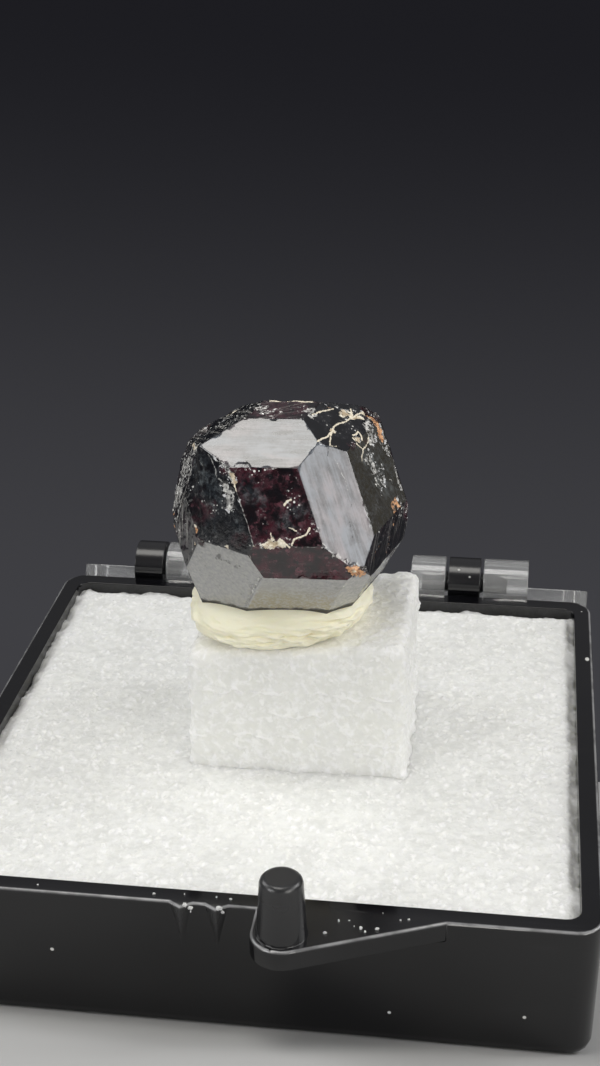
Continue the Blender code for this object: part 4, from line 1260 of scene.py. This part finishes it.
def make_putty():
    """A pat of putty pressed out under the crystal, creased and folded round its side."""
    bpy.ops.object.select_all(action="DESELECT")
    bpy.ops.mesh.primitive_uv_sphere_add(
        segments=PUTTY_SEGMENTS, ring_count=PUTTY_RINGS, radius=1)
    putty = named("putty_pat")
    points = points_of(putty)
    around = np.arctan2(points[:, 1], points[:, 0])
    level = points[:, 2]
    flat = np.maximum(np.hypot(points[:, 0], points[:, 1]), 1e-6)
    side = flat ** 4
    squared = flat ** -0.45
    ring = np.stack([np.cos(around), np.sin(around), level * 0.9], axis=1)

    def slanted(steep):
        """The ring again, with its height along slanting folds."""
        return np.stack([ring[:, 0], ring[:, 1], slant * steep], axis=1)

    # creases, wrinkles and lumps fade out on top; the front is pinched
    slant = level + 0.55 * np.sin(around + math.pi / 2) + 0.5 * lumps(ring, 0.8, 31)
    patchy = ramp(lumps(ring * (1.0, 1.0, 1.6), 0.55, 35), -0.15, 0.35)
    crease = -ramp(np.abs(np.sin(slant * 7.5)), 0.42, 0.0) * patchy * side
    wrinkle = lumps(slanted(1.7), 0.30, 32) * side
    lump = (lumps(ring, 0.75, 33) + 0.45 * lumps(ring, 0.30, 36)) * side
    grain = rough(ring, 0.13, 34) * side
    front = ramp(np.cos(around + 1.35), 0.40, 0.95) * ramp(level, 0.45, -0.15)
    front *= ramp(level, -0.85, -0.45)
    pinched = rough(slanted(1.3), 0.21, 37) * front
    # how far each stands out in mm, and then as a share of the pat's radius
    out = 0.05 * crease + 0.15 * wrinkle + 0.42 * lump + 0.06 * grain + 0.34 * pinched
    out = 1 + out * MM / PUTTY_RADII[0]
    rise = BLOCK_TOP_SLOPE * points[:, 0] * PUTTY_RADII[0]
    x = points[:, 0] * squared * out * PUTTY_RADII[0]
    y = points[:, 1] * squared * out * PUTTY_RADII[1]
    z = level * PUTTY_RADII[2] + rise
    set_points(putty, np.stack([x, y, z], axis=1) + np.array(PUTTY_CENTRE))
    # how high each point stands: the material paints shade where it is low, in the creases
    height = 0.62 + 0.3 * crease + 0.3 * wrinkle + 0.25 * grain + 0.3 * pinched
    store(putty, "height", np.clip(height, 0, 1))
    smooth(putty)
    put_in_tray(putty)
    dress(putty, "tray", "cream_putty", "mounting_putty")


# ---------------------------------------------------------------- crumbs

# Foam crumbs lying on the tray, in mm in the tray's frame, with their size
CRUMBS = (
    ((-2.40, -16.05, 0.02), 0.20), ((-2.15, -16.03, -0.12), 0.16), ((-2.16, -15.98, -0.35), 0.12),
    ((-0.85, -16.10, 0.02), 0.20), ((-0.70, -16.12, -0.16), 0.15),
    ((-1.10, -15.35, 0.05), 0.10), ((-3.90, -15.45, 0.05), 0.09), ((-2.55, -15.30, 0.04), 0.08),
    ((-0.45, -15.42, 0.05), 0.11), ((-9.20, -15.45, 0.04), 0.07), ((4.45, -16.35, 0.05), 0.14),
    ((3.95, -17.25, 0.05), 0.12), ((5.45, -16.75, 0.06), 0.16), ((5.65, -16.95, 0.05), 0.11),
    ((6.15, -16.70, 0.06), 0.12), ((5.15, -16.62, 0.04), 0.07), ((7.45, -15.85, 0.04), 0.08),
    ((7.10, -15.95, 0.04), 0.08), ((6.30, -15.55, 0.04), 0.06), ((4.90, -16.25, 0.04), 0.06),
)


def make_crumbs():
    """Torn crumbs of white foam on the rim, the ribs and the ledge."""
    parts = []
    for number, (spot, size) in enumerate(CRUMBS):
        bpy.ops.object.select_all(action="DESELECT")
        bpy.ops.mesh.primitive_ico_sphere_add(subdivisions=3, radius=size / 2, location=spot)
        crumb = named(f"crumb_{number}")
        points = points_of(crumb)
        middle = np.array(spot)
        way = (points - middle) / (size / 2)
        shape = 1 + 0.45 * rough(way, 0.7, 40 + number) + 0.15 * lumps(way, 0.25, 60 + number)
        points = middle + (points - middle) * shape[:, None]
        points[:, 0] = middle[0] + (points[:, 0] - middle[0]) * (1.0 + 0.5 * math.sin(number * 2.4))
        set_points(crumb, points * MM)
        parts.append(crumb)
    bpy.ops.object.select_all(action="DESELECT")
    for crumb in parts:
        crumb.select_set(True)
    bpy.context.view_layer.objects.active = parts[0]
    bpy.ops.object.join()
    crumbs = bpy.context.object
    crumbs.name = crumbs.data.name = "foam_crumbs"
    finish_foam(crumbs, CRUMBLED)


# ---------------------------------------------------------------- stage

FLOOR_RADIUS = 0.105

# Soft square lights: where, what they face, width, watts, colour
LIGHTS = {
    "top_front": ((-0.045, -0.215, 0.335), (0, -0.038, 0.024), 0.17, 0.40, (1.0, 0.98, 0.93)),
    "right_front": ((0.245, -0.205, 0.150), (0, -0.038, 0.024), 0.15, 0.18, (0.98, 0.965, 0.955)),
    "low_left": ((-0.200, -0.250, 0.060), (0, -0.038, 0.018), 0.13, 0.285, (1.0, 1.0, 1.0)),
    "low_right": ((0.190, -0.270, 0.025), (0, -0.038, 0.018), 0.13, 0.265, (1.0, 0.985, 0.93)),
    "left": ((-0.30, -0.06, 0.26), (0, -0.030, 0.015), 0.20, 0.44, (1.0, 1.0, 0.99)),
    "right": ((0.240, -0.053, 0.204), (0, -0.035, 0.020), 0.14, 0.30, (1.0, 1.0, 1.0)),
}

# Camera, in the tray's frame
CAMERA_PLACE = (10.951 * MM, -76.969 * MM, 46.343 * MM)
CAMERA_TURN = [math.radians(a) for a in (65.467, 0.185, 7.559)]
CAMERA_LENS = 58.21


def make_floor():
    bpy.ops.object.select_all(action="DESELECT")
    bpy.ops.mesh.primitive_circle_add(vertices=128, radius=FLOOR_RADIUS, fill_type="NGON")
    floor = named("floor")
    material, tree, shader, coords = new_material("pale_floor")
    colour = blend_colours(tree, cloud(tree, coords, 9.0), "floor", "paler floor")
    plug(tree, shader, {"Base Color": colour, "Roughness": 0.75})
    floor.data.materials.append(material)


def make_world():
    """A dim room, darker above eye level, with a glow straight overhead."""
    world = bpy.data.worlds.new("studio")
    bpy.context.scene.world = world
    world.use_nodes = True
    tree = world.node_tree
    way = node(tree, "ShaderNodeTexCoord", {}).outputs["Generated"]
    up = node(tree, "ShaderNodeSeparateXYZ", {0: way}).outputs[2]
    colour = coated(tree, "backdrop", (steps(tree, up, -0.02, 0.34), "backdrop above"),
                    (steps(tree, up, 0.45, 1.0), "overhead glow"))
    plug(tree, tree.nodes["Background"], {"Color": colour})


def make_lights():
    for name, (place, aim, width, watts, colour) in LIGHTS.items():
        lamp = bpy.data.lights.new(name, "AREA")
        lamp.shape = "SQUARE"
        lamp.size = width
        lamp.energy = watts
        lamp.color = colour
        light = bpy.data.objects.new(name, lamp)
        light.location = place
        light.rotation_euler = (Vector(aim) - Vector(place)).to_track_quat("-Z", "Y").to_euler()
        bpy.context.scene.collection.objects.link(light)


def make_camera():
    data = bpy.data.cameras.new("camera")
    data.lens = CAMERA_LENS
    data.clip_start = 0.001
    camera = bpy.data.objects.new("camera", data)
    turn = Euler(CAMERA_TURN, "XYZ").to_matrix().to_4x4()
    camera.matrix_world = TRAY @ Matrix.Translation(CAMERA_PLACE) @ turn
    bpy.context.scene.collection.objects.link(camera)
    bpy.context.scene.camera = camera


make_tray()
make_lid()
make_foam_liner()
make_foam_block()
make_putty()
make_garnet()
make_crumbs()
make_floor()
make_world()
make_lights()
make_camera()
bpy.context.scene.view_settings.view_transform = "Standard"
